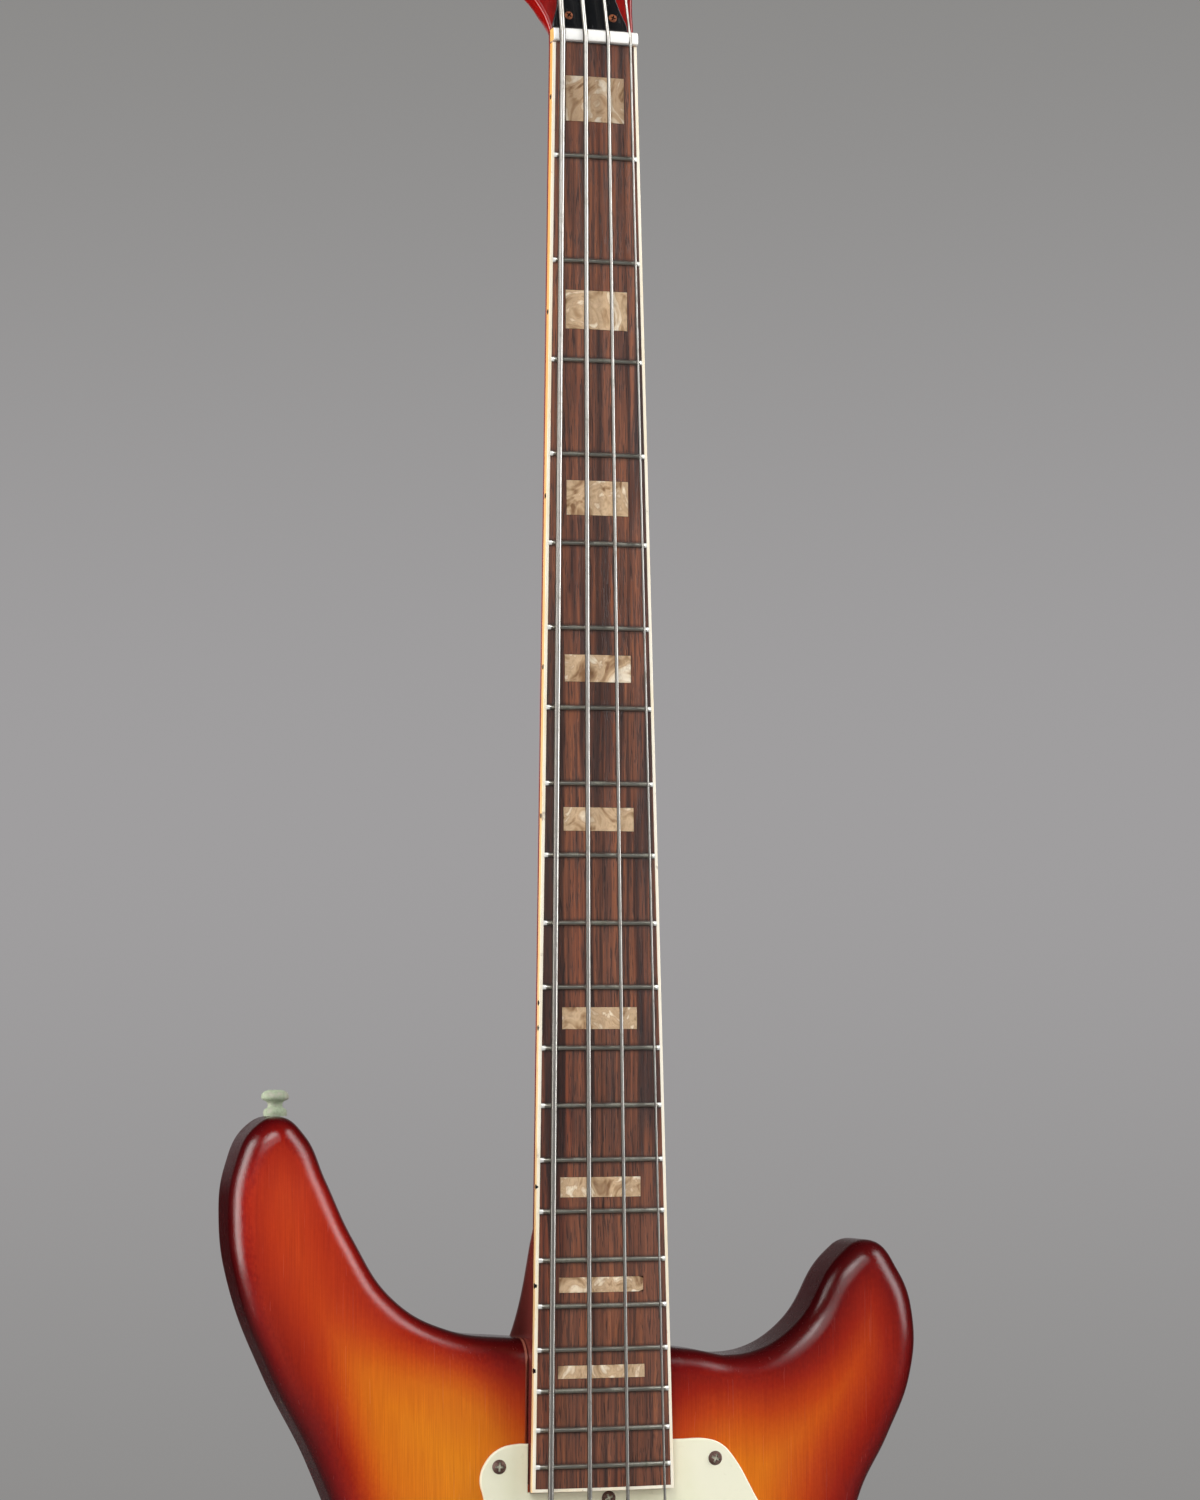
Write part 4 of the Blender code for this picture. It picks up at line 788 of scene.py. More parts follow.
# %% Outlines, restated from the solids
BODY_EDGE = 0.012
BODY_OUTLINE = (
    (0.0, -0.5552), (-0.0350, -0.5542), (-0.0631, -0.5501), (-0.0862, -0.5370),
    (-0.1034, -0.5117), (-0.1153, -0.4865), (-0.1243, -0.4676), (-0.1344, -0.4600),
    (-0.1449, -0.4638), (-0.1538, -0.4804), (-0.1564, -0.5030), (-0.1524, -0.5309),
    (-0.1378, -0.5689), (-0.1184, -0.6072), (-0.1050, -0.6460), (-0.1020, -0.6850),
    (-0.1160, -0.7350), (-0.1440, -0.7830), (-0.1620, -0.8330), (-0.1570, -0.8880),
    (-0.1180, -0.9330), (-0.0600, -0.9490), (0.0, -0.9520), (0.0640, -0.9510),
    (0.1220, -0.9380), (0.1600, -0.9000), (0.1700, -0.8500), (0.1610, -0.7960),
    (0.1360, -0.7430), (0.1150, -0.7020), (0.1118, -0.6660), (0.1206, -0.6251),
    (0.1338, -0.5999), (0.1444, -0.5743), (0.1460, -0.5480), (0.1394, -0.5286),
    (0.1270, -0.5157), (0.1117, -0.5229), (0.0956, -0.5488), (0.0712, -0.5633),
    (0.0437, -0.5607),
)
HEAD_OUTLINE = (
    (-0.0190, 0.0, "corner"), (-0.0197, 0.0031), (-0.0216, 0.0082), (-0.0258, 0.0150),
    (-0.0345, 0.0240), (-0.0412, 0.0360), (-0.0408, 0.0560), (-0.0310, 0.1140),
    (-0.0216, 0.1700), (-0.0160, 0.1900), (-0.0020, 0.2040), (0.0130, 0.2020),
    (0.0215, 0.1860), (0.0225, 0.1600), (0.0215, 0.1200), (0.0235, 0.0800),
    (0.0225, 0.0440), (0.0195, 0.0180), (0.0190, 0.0, "corner"),
)
COVER_OUTLINE = (
    (-0.0182, 0.0008, "corner"), (-0.0179, 0.0031), (-0.0166, 0.0075), (-0.0156, 0.0120),
    (-0.0153, 0.0180), (-0.0165, 0.0270), (-0.0160, 0.0370), (-0.0105, 0.0460),
    (-0.0050, 0.0490), (0.0005, 0.0465), (0.0065, 0.0380), (0.0085, 0.0270),
    (0.0104, 0.0180), (0.0121, 0.0120), (0.0138, 0.0073), (0.0154, 0.0034),
    (0.0157, 0.0008, "corner"),
)
GUARD_OUTLINE = (
    (-0.0356, -0.5977), (-0.0435, -0.5995), (-0.0491, -0.6043), (-0.0520, -0.6116),
    (-0.0504, -0.6204), (-0.0480, -0.6400), (-0.0495, -0.6900), (-0.0515, -0.7500),
    (-0.0505, -0.8100), (-0.0470, -0.8350), (-0.0400, -0.8395), (0.0400, -0.8395),
    (0.0520, -0.8440), (0.0680, -0.8600), (0.0900, -0.8680), (0.1120, -0.8600),
    (0.1235, -0.8360), (0.1225, -0.8020), (0.1120, -0.7600), (0.0990, -0.7150),
    (0.0925, -0.6750), (0.0828, -0.6455), (0.0704, -0.6246), (0.0583, -0.6042),
    (0.0543, -0.6004), (0.0490, -0.5982), (0.0360, -0.5977),
)
GUARD_TOP = -0.5978
PICKUP_SIZE = (0.09, 0.036, 0.004)
NECK_PICKUP_AT = -0.692
BRIDGE_PICKUP_AT = -0.802
VOLUME_AT = (0.092, -0.778)
TONE_AT = (0.095, -0.828)
SELECTOR_AT = (0.076, -0.722)
BODY_SHOULDER = -0.5527
HEEL_SEAT = BODY_SHOULDER - 0.0055
HEEL_START = -0.508
TENON_DEPTH = 0.0295
TENON_END = -(BOARD_LENGTH + 0.027)
JACK_AT = (0.167, -0.850)
JACK_PLATE = (0.026, 0.036, 0.004)
HORN_BUTTON_AT = (-0.1344, -0.4602)
TAIL_BUTTON_AT = (0.0, -0.9514)
BODY_MIDDLE = -BODY_THICKNESS / 2
JACK = Matrix(((0, 0, 1, JACK_AT[0]), (1, 0, 0, -BODY_MIDDLE), (0, 1, 0, JACK_AT[1]), (0, 0, 0, 1)))
print("outlines:", len(BODY_OUTLINE), "points round the body")


# %% The body's shell
def inward(path):
    """Unit normals that point into a closed outline which runs anticlockwise."""
    along = np.roll(path, -1, axis=0) - np.roll(path, 1, axis=0)
    along /= np.linalg.norm(along, axis=1)[:, None]
    return np.column_stack((-along[:, 1], along[:, 0]))


def face_grid(ring, spacing):
    """A closed ring filled with near-equal triangles: (points, triangles)."""
    low, high = ring.min(axis=0), ring.max(axis=0)
    tree = kdtree.KDTree(len(ring))
    for index, point in enumerate(ring):
        tree.insert((*point, 0), index)
    tree.balance()
    points = [Vector(point) for point in ring]
    edges = [(i, (i + 1) % len(ring)) for i in range(len(ring))]
    rows = int((high[1] - low[1]) / (spacing * 0.87))
    for row in range(rows):
        b = low[1] + (row + 0.5) * spacing * 0.87
        for a in np.arange(low[0] + spacing * (row % 2) / 2, high[0], spacing):
            if tree.find((a, b, 0))[2] > spacing * 0.6:
                points.append(Vector((a, b)))
    made = geometry.delaunay_2d_cdt(points, edges, [list(range(len(ring)))], 1, 1e-7)
    return made[0], made[2]


def make_body_shell():
    path = trace(BODY_OUTLINE, 0.002)
    inner = (path[:, 0] > 0.06) & (path[:, 0] < 0.118) & (path[:, 1] > -0.575)
    for _ in range(16):
        eased_path = (np.roll(path, 1, axis=0) + 2 * path + np.roll(path, -1, axis=0)) / 4
        path[inner] = eased_path[inner]
    if np.sum(path[:, 0] * np.roll(path[:, 1], -1) - path[:, 1] * np.roll(path[:, 0], -1)) < 0:
        path = path[::-1].copy()
    normal = inward(path)
    steps = 11
    quarter = [math.pi / 2 * i / steps for i in range(steps + 1)]
    levels = [(BODY_EDGE * (1 - math.sin(t)), -BODY_EDGE * (1 - math.cos(t))) for t in quarter]
    levels += [(inset, -BODY_THICKNESS - c) for inset, c in reversed(levels)]
    work = bmesh.new()
    rows = [[work.verts.new((*point, c)) for point in path + normal * inset] for inset, c in levels]
    count = len(path)
    for first, second in zip(rows, rows[1:]):
        for i in range(count):
            j = (i + 1) % count
            work.faces.new((first[i], second[i], second[j], first[j]))
    points, triangles = face_grid(path + normal * BODY_EDGE, 0.0042)
    for c in (0.0, -BODY_THICKNESS):
        corners = [work.verts.new((*point, c)) for point in points]
        for triangle in triangles:
            work.faces.new([corners[i] for i in triangle])
    bmesh.ops.transform(work, matrix=FACE, verts=work.verts)
    return weld(meshed(work), 1e-5), path


def neck_outline(clearance, top, bottom):
    upper = board_width(top) / 2 + clearance
    lower = board_width(bottom) / 2 + clearance
    return [(-upper, top), (-lower, bottom), (lower, bottom), (upper, top)]


def make_body():
    """The shell, routed for the neck, the pickups, the controls, the jack and two screws."""
    shell, path = make_body_shell()
    half = board_width(-BOARD_LENGTH) / 2 + GAP
    over = 0.002
    width, length, corner = PICKUP_SIZE
    cavity = rounded_box(width + 0.003, length + 0.003, corner + 0.0015)
    controls = [(0.058, -0.742), (0.066, -0.800), (0.068, -0.846), (0.092, -0.854),
                (0.112, -0.848), (0.116, -0.820), (0.108, -0.772), (0.092, -0.704),
                (0.078, -0.692), (0.062, -0.696)]
    tools = [
        slab(neck_outline(GAP, BODY_SHOULDER + 0.02, -BOARD_LENGTH - GAP), -TENON_DEPTH, over),
        block((-half, TENON_END, -TENON_DEPTH), (half, -BOARD_LENGTH + 0.003, over)),
        slab(neck_outline(GAP, HEEL_START, HEEL_SEAT), -BODY_THICKNESS - over, 2 * over),
        loft([[FACE @ Vector((a, b, c)) for a, b in neck_outline(
            GAP + max(c + 0.0009, 0), BODY_SHOULDER + 0.02, GUARD_TOP)] for c in (-0.0009, over)]),
        slab(controls, -0.036, over),
        block((0.043, -0.806, -0.013), (0.070, -0.793, over)),
        block((0.043, -0.705, -0.013), (0.066, -0.694, over)),
        block((-JACK_PLATE[0] / 2 - GAP, -JACK_PLATE[1] / 2 - GAP, 0),
              (JACK_PLATE[0] / 2 + GAP, JACK_PLATE[1] / 2 + GAP, 0.01), JACK),
        lathe(((0, over), (0.007, over), (0.007, -0.059), (0, -0.059)), JACK, 32)]
    for b in (NECK_PICKUP_AT, BRIDGE_PICKUP_AT):
        tools.append(slab(cavity, -0.016, over, FACE @ Matrix.Translation((0, b, 0))))
    for (a, b), turn in ((HORN_BUTTON_AT, 0), (TAIL_BUTTON_AT, math.pi)):
        seat = FACE @ Matrix.Translation((a, b, BODY_MIDDLE)) @ Matrix.Rotation(
            turn - math.pi / 2, 4, "X")
        tools.append(lathe(((0, 0.004), (0.00565, 0.004), (0.00565, 0), (0.0023, 0),
                            (0.0023, -0.0245), (0, -0.0245)), seat, 32))
    mesh = carve(shell, tools)
    places = np.array([vertex.co for vertex in mesh.vertices])[:, (0, 2)]
    rim = np.concatenate([np.sqrt(((part[:, None] - path[None]) ** 2).sum(axis=2).min(axis=1))
                          for part in np.array_split(places, 40)])
    carry(mesh, "rim", rim / MM)
    print("rim distance up to", round(float(rim.max()) / MM, 1), "mm")
    dress("body_wood", mesh, 40, SUNBURST, "guitar", "body", slot="sunburst_lacquer")


make_body()


# %% [markdown]
# ## The neck
# The neck is a long loft: flat on top, round behind, and it deepens into a squared heel
# where it meets the body. The headstock is a flat board tilted back by ten degrees. To
# carve the one into the other, the board is cut to a flare that starts as the neck's own
# section, as a maker's rasp would leave it, and then both are joined.

# %% Neck and headstock
NECK_DEPTH_NUT = 0.016
NECK_DEPTH_HEEL = 0.0195


def neck_section(b, top, width, depth, power, points=44):
    """A slice of the neck: flat on top, and rounded or squared below by power."""
    ring = []
    for i in range(points + 1):
        angle = math.pi * i / points
        side = math.copysign(abs(math.cos(angle)) ** (2 / power), math.cos(angle))
        ring.append((width / 2 * side, b, top - depth * math.sin(angle) ** (2 / power)))
    return ring


def head_underside():
    """Rings that turn the round back of the neck into the square back of the headstock."""
    edge = trace(HEAD_OUTLINE, 0.0005)
    edge = edge[(edge[:, 1] > 0.0004) & (np.abs(edge[:, 0]) > 0.004)]
    sides = [edge[edge[:, 0] * side > 0] for side in (-1, 1)]
    sides = [side[np.argsort(side[:, 1])] for side in sides]
    rings = []
    for i in range(37):
        share = i / 36
        b = -0.0006 + 0.212 * share ** 2
        left, right_side = (float(np.interp(b, side[:, 1], side[:, 0])) for side in sides)
        left, right_side = left - 0.0002, right_side + 0.0002
        power = np.interp(b, (0, 0.01, 0.02, 0.035, 0.06, 0.1), (2.0, 3.4, 3.2, 2.4, 8.0, 16.0))
        depth = np.interp(b, (0.03, 0.05), (0.0165, 0.0205))
        ring = neck_section(b, 0.0003, right_side - left, float(depth), float(power))
        rings.append([HEAD @ Vector((a + (left + right_side) / 2, b, c)) for a, b, c in ring])
    return rings


def make_neck():
    rings = [neck_section(NUT_END, NECK_RISE - 0.0002, NUT_WIDTH, NECK_DEPTH_NUT, 2.0)]
    for i in range(31):
        share = i / 30
        depth = NECK_DEPTH_NUT + (NECK_DEPTH_HEEL - NECK_DEPTH_NUT) * share
        b = HEEL_START * share
        rings.append(neck_section(b, NECK_RISE, board_width(b), depth, 2.0))
    full = NECK_RISE + BODY_THICKNESS
    shoulder = HEEL_SEAT + GAP
    for i in range(1, 17):
        share = i / 16
        b = HEEL_START + (shoulder - HEEL_START) * share
        depth = NECK_DEPTH_HEEL + (full - NECK_DEPTH_HEEL) * share ** 2.2
        rings.append(neck_section(b, NECK_RISE, board_width(b), depth, 2.0 + 10 * share))
    shaft = loft([[FACE @ Vector(point) for point in ring] for ring in rings])
    step = 0.00008
    deck = slab(neck_outline(-step, shoulder + 0.004, -BOARD_LENGTH), GAP - TENON_DEPTH,
                NECK_RISE - step)
    half = board_width(-BOARD_LENGTH) / 2 - 2 * step
    tenon = block((-half, TENON_END + GAP, GAP + step - TENON_DEPTH),
                  (half, -BOARD_LENGTH + 0.004, -GAP))
    head = slab(HEAD_OUTLINE, -HEAD_THICKNESS, 0, HEAD, edge=0.0015, edge_steps=4, smooth=True)
    head = carve(head, [loft(head_underside())], "INTERSECT", "MANIFOLD")
    mesh = carve(shaft, [deck, tenon, head], "UNION", "MANIFOLD")
    dress("neck_wood", mesh, 35, CHERRY, "guitar", "neck", slot="cherry_lacquer")


make_neck()


# %% [markdown]
# ## Fingerboard, binding, frets and pearl
# The rosewood board is cambered to a 237 mm radius. Its rings lie closer next to each fret,
# where it also carries a number that darkens a narrow band against the wire.

# %% The board
INLAYS = {1: (-13.4, 12.8, -33.2, -13.4), 3: (-13.9, 13.6, -123.9, -107.1),
          5: (-14.0, 13.4, -204.5, -189.6), 7: (-15.2, 14.1, -276.2, -264.6),
          9: (-16.1, 14.9, -339.9, -329.9), 12: (-17.2, 15.7, -424.0, -414.8),
          15: (-18.4, 16.8, -494.8, -486.4), 17: (-19.2, 17.6, -534.7, -528.4),
          19: (-19.9, 18.0, -570.6, -565.2)}
INLAY_DEPTH = 0.0012
INLAY_SEAM = 0.00012


def board_ring(b, stations=30):
    half = board_width(b) / 2 - BINDING_WIDTH - 0.00005
    ring = [(-half, b, BOARD_SEAT), (half, b, BOARD_SEAT)]
    for i in range(stations + 1):
        a = half * (1 - 2 * i / stations)
        ring.append((a, b, BOARD_RISE - board_sag(a)))
    return [FACE @ Vector(point) for point in ring]


def make_board():
    foot = -BOARD_LENGTH + BINDING_WIDTH + 0.00005
    top = NUT_START - GAP
    places = {top, foot}
    places.update(-0.004 * i for i in range(int(BOARD_LENGTH / 0.004)))
    for number in range(1, FRETS + 1):
        places.update(fret_at(number) + side * away for side in (-1, 1)
                      for away in (0.0008, 0.0014, 0.0024))
    places = sorted((b for b in places if foot <= b <= top), reverse=True)
    mesh = loft([board_ring(b) for b in places])
    pockets = []
    for left, right_side, low, high in INLAYS.values():
        pockets.append(block((left * MM - INLAY_SEAM, low * MM - INLAY_SEAM, BOARD_RISE - 0.0026),
                             (right_side * MM + INLAY_SEAM, high * MM + INLAY_SEAM,
                              BOARD_RISE + 0.001)))
    mesh = carve(mesh, [joined(*pockets)])
    frets = np.array([fret_at(number) for number in range(1, FRETS + 1)])
    heights = np.array([vertex.co.z for vertex in mesh.vertices])
    nearest = np.abs(heights[:, None] - frets[None]).min(axis=1)
    # 1 within 0.8 mm of a fret, falling to 0 at 2.4 mm.
    grime = np.clip(1 - (nearest - 0.0008) / 0.0016, 0, 1)
    carry(mesh, "grime", grime)
    dress("rosewood_board", mesh, 30, ROSEWOOD, "guitar", "fingerboard", slot="rosewood")


make_board()


# %% Pearl blocks
def make_inlays():
    """Blocks of pearl, flush with the camber, each with its own tone."""
    parts, tones = [], []
    for index, (number, (left, right_side, low, high)) in enumerate(INLAYS.items()):
        rings = []
        for i in range(19):
            a = (left + (right_side - left) * i / 18) * MM
            top = BOARD_RISE - board_sag(a) + 0.00002
            round_end = 0.0007 if number == 17 and i == 18 else 0.0
            b_low, b_high = low * MM + round_end, high * MM - round_end
            rings.append([FACE @ Vector(point) for point in (
                (a, b_low, top - INLAY_DEPTH), (a, b_low, top), (a, b_high, top),
                (a, b_high, top - INLAY_DEPTH))])
        parts.append(loft(rings))
        tones += [(index * 0.37) % 1.0] * len(parts[-1].vertices)
    mesh = joined(*parts)
    carry(mesh, "tone", tones)
    dress("pearl_inlays", mesh, 30, PEARL, "guitar")


make_inlays()


# %% Binding
def make_binding_strip():
    """A strip down both sides and across the foot, with its outer edge eased."""
    ease = 0.0003

    def section(outer, inner):
        """A slice of the strip between an outer and an inner (a, b)."""
        outer, inner = Vector(outer), Vector(inner)
        across = (inner - outer).normalized()
        crown = BOARD_RISE - board_sag(outer.x)
        ring = [(*outer, BOARD_SEAT)]
        for t in (0, 0.25, 0.5, 0.75, 1):
            turn = t * math.pi / 2
            point = outer + across * ease * (1 - math.cos(turn))
            ring.append((*point, crown - ease * (1 - math.sin(turn))))
        ring += [(*inner, BOARD_RISE - board_sag(inner.x)), (*inner, BOARD_SEAT)]
        return [FACE @ Vector(point) for point in ring]

    rings = []
    foot, inner_foot = -BOARD_LENGTH, -BOARD_LENGTH + BINDING_WIDTH
    top = NUT_START - GAP
    lengths = [top + (inner_foot - top) * i / 60 for i in range(61)]
    for b in lengths:
        half = board_width(b) / 2
        rings.append(section((-half, b), (-half + BINDING_WIDTH, b)))
    for i in range(25):
        share = -1 + 2 * i / 24
        rings.append(section((share * board_width(foot) / 2, foot),
                             (share * (board_width(inner_foot) / 2 - BINDING_WIDTH), inner_foot)))
    for b in reversed(lengths):
        half = board_width(b) / 2
        rings.append(section((half, b), (half - BINDING_WIDTH, b)))
    dress("binding_strip", loft(rings), 50, BINDING, "guitar", "binding", slot="ivory_plastic")


make_binding_strip()

# %% [markdown]
# ## Frets by Geometry Nodes
# Twenty-one frets follow one rule: each is a half-round wire as long as the board is wide
# there, laid over the camber, with its ends filed at a slant. A Geometry Nodes tree lays a
# row of points by the rule of equal temperament, bends a line at each of them, and sweeps
# the crown along it. The tree is read once into a plain mesh.

# %% Geometry Nodes helpers
KINDS = {int: "NodeSocketInt", float: "NodeSocketFloat",
         bpy.types.Material: "NodeSocketMaterial", bpy.types.Object: "NodeSocketObject"}


def geometry_tree(name, inputs):
    """A tree with named inputs; returns it and its inputs by name."""
    tree = bpy.data.node_groups.new(name, "GeometryNodeTree")
    tree.interface.new_socket("Geometry", in_out="INPUT", socket_type="NodeSocketGeometry")
    for label, value in inputs.items():
        socket = tree.interface.new_socket(label, in_out="INPUT", socket_type=KINDS[type(value)])
        if isinstance(value, (int, float)):
            socket.default_value = value
    tree.interface.new_socket("Geometry", in_out="OUTPUT", socket_type="NodeSocketGeometry")
    given = tree.nodes.new("NodeGroupInput").outputs
    return tree, {label: Signal(given[label]) for label in ("Geometry", *inputs)}


def grown(tree, inputs, base):
    """The tree's result on a base object, as a plain mesh; the base is removed."""
    step = base.modifiers.new(tree.name, "NODES")
    step.node_group = tree
    for socket in tree.interface.items_tree:
        if socket.in_out == "INPUT" and socket.name in inputs:
            step[socket.identifier] = inputs[socket.name]
    return plain(base)


def capture(shape, **fields):
    """Fields kept on a shape before it changes; returns the shape and the kept fields."""
    node = add(shape.tree, "GeometryNodeCaptureAttribute")
    for label in fields:
        node.capture_items.new("FLOAT", label)
    for label, value in {"Geometry": shape, **fields}.items():
        link(value, node.inputs[label])
    return [Signal(node.outputs[label]) for label in ("Geometry", *fields)]


def moved(shape, **where):
    return signal(shape.tree, "GeometryNodeSetPosition", {"Geometry": shape, **where})


def realized(shape):
    return signal(shape.tree, "GeometryNodeRealizeInstances", {0: shape})


def swept(path, profile):
    return signal(path.tree, "GeometryNodeCurveToMesh", {
        "Curve": path, "Profile Curve": profile, "Fill Caps": True})


def position(tree):
    return axes(signal(tree, "GeometryNodeInputPosition"))


def close_tree(shape, material):
    """Every tree ends alike: real geometry, with its material."""
    painted = signal(shape.tree, "GeometryNodeSetMaterial", {
        "Geometry": realized(shape), "Material": material})
    link(painted, shape.tree.nodes.new("NodeGroupOutput").inputs["Geometry"])
    return shape.tree


print("geometry helpers ready")


# %% The frets
def fret_tree(inputs):
    tree, given = geometry_tree("fret_wires", inputs)
    line = signal(tree, "GeometryNodeCurvePrimitiveLine", {"Start": (-1, 0, 0), "End": (1, 0, 0)})
    fine = signal(tree, "GeometryNodeResampleCurve", {"Curve": line, "Count": 61})
    wire, share = capture(fine, Share=position(tree)[0])
    number = signal(tree, "GeometryNodeInputIndex") + 1.0
    below = (1.0 - 2.0 ** (number / -12.0)) * given["Scale Length"]
    row = signal(tree, "GeometryNodePoints", {"Count": given["Frets"]})
    row = moved(row, Position=vector(tree, z=below * -1.0))
    wires = realized(signal(tree, "GeometryNodeInstanceOnPoints", {"Points": row, "Instance": wire}))
    z = position(tree)[2]
    slope = (given["End Width"] - given["Nut Width"]) / given["Board Length"]
    half = (given["Nut Width"] - z * slope) * 0.5 - given["Inset"]
    across = share * half
    squared = given["Camber Radius"] ** 2.0 - across * across
    crown = squared.math("SQRT") - given["Camber Radius"]
    out = (crown + given["Board Rise"]) * -1.0
    laid = moved(wires, Position=vector(tree, across, out, z))
    profile = signal(tree, "GeometryNodeCurvePrimitiveCircle", {"Resolution": 14, "Radius": 1.0})
    flat = signal(tree, "GeometryNodeTransform", {"Geometry": profile, "Scale": vector(
        tree, given["Crown Width"] * 0.5, given["Crown Height"], 1.0)})
    from_end = (1.0 - abs(share)) * half
    laid, full, seat = capture(laid, Full=from_end.even(0.0, given["Filed Length"], 0.06, 1.0),
                               Seat=out)
    shaped = signal(tree, "GeometryNodeSetCurveNormal", {0: laid}, mode="Z_UP")
    filed = 1.0 - full
    sink = (seat - position(tree)[1]) * filed
    cut_down = moved(swept(shaped, flat), Offset=vector(tree, y=sink))
    named = signal(tree, "GeometryNodeStoreNamedAttribute", {
        "Geometry": cut_down, "Name": "filed", "Value": filed}, data_type="FLOAT")
    return close_tree(named, given["Metal"])


def make_frets():
    inputs = {"Frets": FRETS, "Scale Length": SCALE, "Nut Width": NUT_WIDTH,
              "End Width": BOARD_END_WIDTH, "Board Length": BOARD_LENGTH,
              "Board Rise": BOARD_RISE, "Camber Radius": BOARD_RADIUS,
              "Inset": BINDING_WIDTH - 0.0001, "Crown Width": FRET_WIDTH,
              "Crown Height": FRET_HEIGHT, "Filed Length": 0.0013, "Metal": FRET_METAL}
    base = put("fret_base", bpy.data.meshes.new("fret_base"))
    mesh = grown(fret_tree(inputs), inputs, base)
    dress("fret_wires", weld(mesh), 60, FRET_METAL, "guitar")


make_frets()

# %% [markdown]
# ## The strings
# A bass string is a steel core wound with a flat-ended wire. Drawn as a plain tube it looks
# like cable; its winding is what catches the light. The tree below sweeps a circle along
# the string's path and lifts the surface by a wave that runs round and along at once, which
# is a helix. The thicker the string, the thicker its winding.

# %% Paths of the strings
STRING_RADII = (0.00133, 0.00108, 0.00083, 0.00057)
STRING_PITCH = (0.00066, 0.00056, 0.00048, 0.00040)
STRING_SPREAD_NUT = 0.0306
STRING_SPREAD_BRIDGE = 0.0576
STRING_OVER_FIRST = 0.00045
STRING_ACTION = 0.003
STRING_HOLE_RISE = 0.0113
BRIDGE_BACK = 0.038
BRIDGE_WALL = 0.003
FIRST_POST = (-0.0246, 0.045)
POST_STEP = (0.0073, 0.042)
POST_RADIUS = 0.006
WIND_HEIGHT = 0.0115
WIND_TURNS = 2.3
WIND_STEPS = 10


def post_at(index):
    return (FIRST_POST[0] + POST_STEP[0] * index, FIRST_POST[1] + POST_STEP[1] * index)


def string_rise(index):
    """Heights of a string's axis at the nut and at its saddle."""
    radius = STRING_RADII[index]
    a_nut = string_a(index, STRING_SPREAD_NUT)
    a_twelfth = (a_nut + string_a(index, STRING_SPREAD_BRIDGE)) / 2
    at_nut = BOARD_RISE - board_sag(a_nut) + FRET_HEIGHT + STRING_OVER_FIRST + radius
    over = BOARD_RISE - board_sag(a_twelfth) + FRET_HEIGHT + STRING_ACTION + radius
    return at_nut, 2 * over - at_nut


for index in range(4):
    low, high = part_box(f"string_{index + 1}")
    print("string", index + 1, "spans z", round(low.z, 3), "to", round(high.z, 3),
          "rises", [round(v, 4) for v in string_rise(index)])


# %% The winding
def string_path(index):
    """Ball, saddle, nut, and the turns round the post, as world points."""
    a_bridge = string_a(index, STRING_SPREAD_BRIDGE)
    a_nut = string_a(index, STRING_SPREAD_NUT)
    at_nut, at_bridge = string_rise(index)
    wall = -(SCALE + BRIDGE_BACK + GAP)
    points = [FACE @ Vector(point) for point in (
        (a_bridge, wall, STRING_HOLE_RISE), (a_bridge, wall + BRIDGE_WALL, STRING_HOLE_RISE),
        (a_bridge, -SCALE, at_bridge), (a_nut, NUT_START + NUT_LENGTH * 0.4, at_nut))]
    points = eased(points, 2, 0.004, 6)
    start = HEAD.inverted() @ points[-1]
    centre = Vector(post_at(index))
    radius = POST_RADIUS + STRING_RADII[index] + GAP
    away = centre - Vector((start.x, start.y))
    heading = math.atan2(away.y, away.x) - math.asin(radius / away.length)
    pitch = 2 * STRING_RADII[index] + GAP
    fine = WIND_STEPS * 4
    for step in range(round(WIND_TURNS * fine) + 1):
        turn = step / fine
        angle = heading - math.pi / 2 + 2 * math.pi * turn
        points.append(HEAD @ Vector((centre.x + radius * math.cos(angle),
                                     centre.y + radius * math.sin(angle),
                                     WIND_HEIGHT - pitch * turn)))
    return points


def eased(points, corner, reach, steps):
    """Points with one corner replaced by a short curve that reaches a little to each side."""
    before, at, after = points[corner - 1:corner + 2]
    first = at + (before - at).normalized() * reach
    last = at + (after - at).normalized() * reach
    bend = [first.lerp(at, t).lerp(at.lerp(last, t), t) for t in (i / steps for i in range(steps + 1))]
    return points[:corner] + bend + points[corner + 1:]


def winding_tree(inputs):
    tree, given = geometry_tree("wound_string", inputs)
    fine = signal(tree, "GeometryNodeResampleCurve", {
        "Curve": given["Geometry"], "Length": given["Pitch"] / 3.0}, mode="LENGTH")
    wire, run = capture(fine, Run=signal(tree, "GeometryNodeSplineParameter", output="Length"))
    ring = signal(tree, "GeometryNodeCurvePrimitiveCircle", {
        "Resolution": given["Sides"], "Radius": given["Radius"]})
    ring, turn = capture(ring, Turn=signal(tree, "GeometryNodeSplineParameter", output="Factor"))
    phase = run / given["Pitch"] + turn
    wave = ((phase * (2 * math.pi)).math("COSINE") - 1.0) * given["Rib Depth"]
    lift = signal(tree, "ShaderNodeVectorMath", {
        0: signal(tree, "GeometryNodeInputNormal"), 3: wave}, operation="SCALE")
    ribbed = moved(swept(wire, ring), Offset=lift)
    smooth = signal(tree, "GeometryNodeSetShadeSmooth", {"Geometry": ribbed})
    return close_tree(smooth, given["Metal"])


def polyline(points):
    curve = bpy.data.curves.new("path", "CURVE")
    curve.dimensions = "3D"
    spline = curve.splines.new("POLY")
    spline.points.add(len(points) - 1)
    for point, place in zip(spline.points, points):
        point.co = (*place, 1)
    return put_curve(curve)


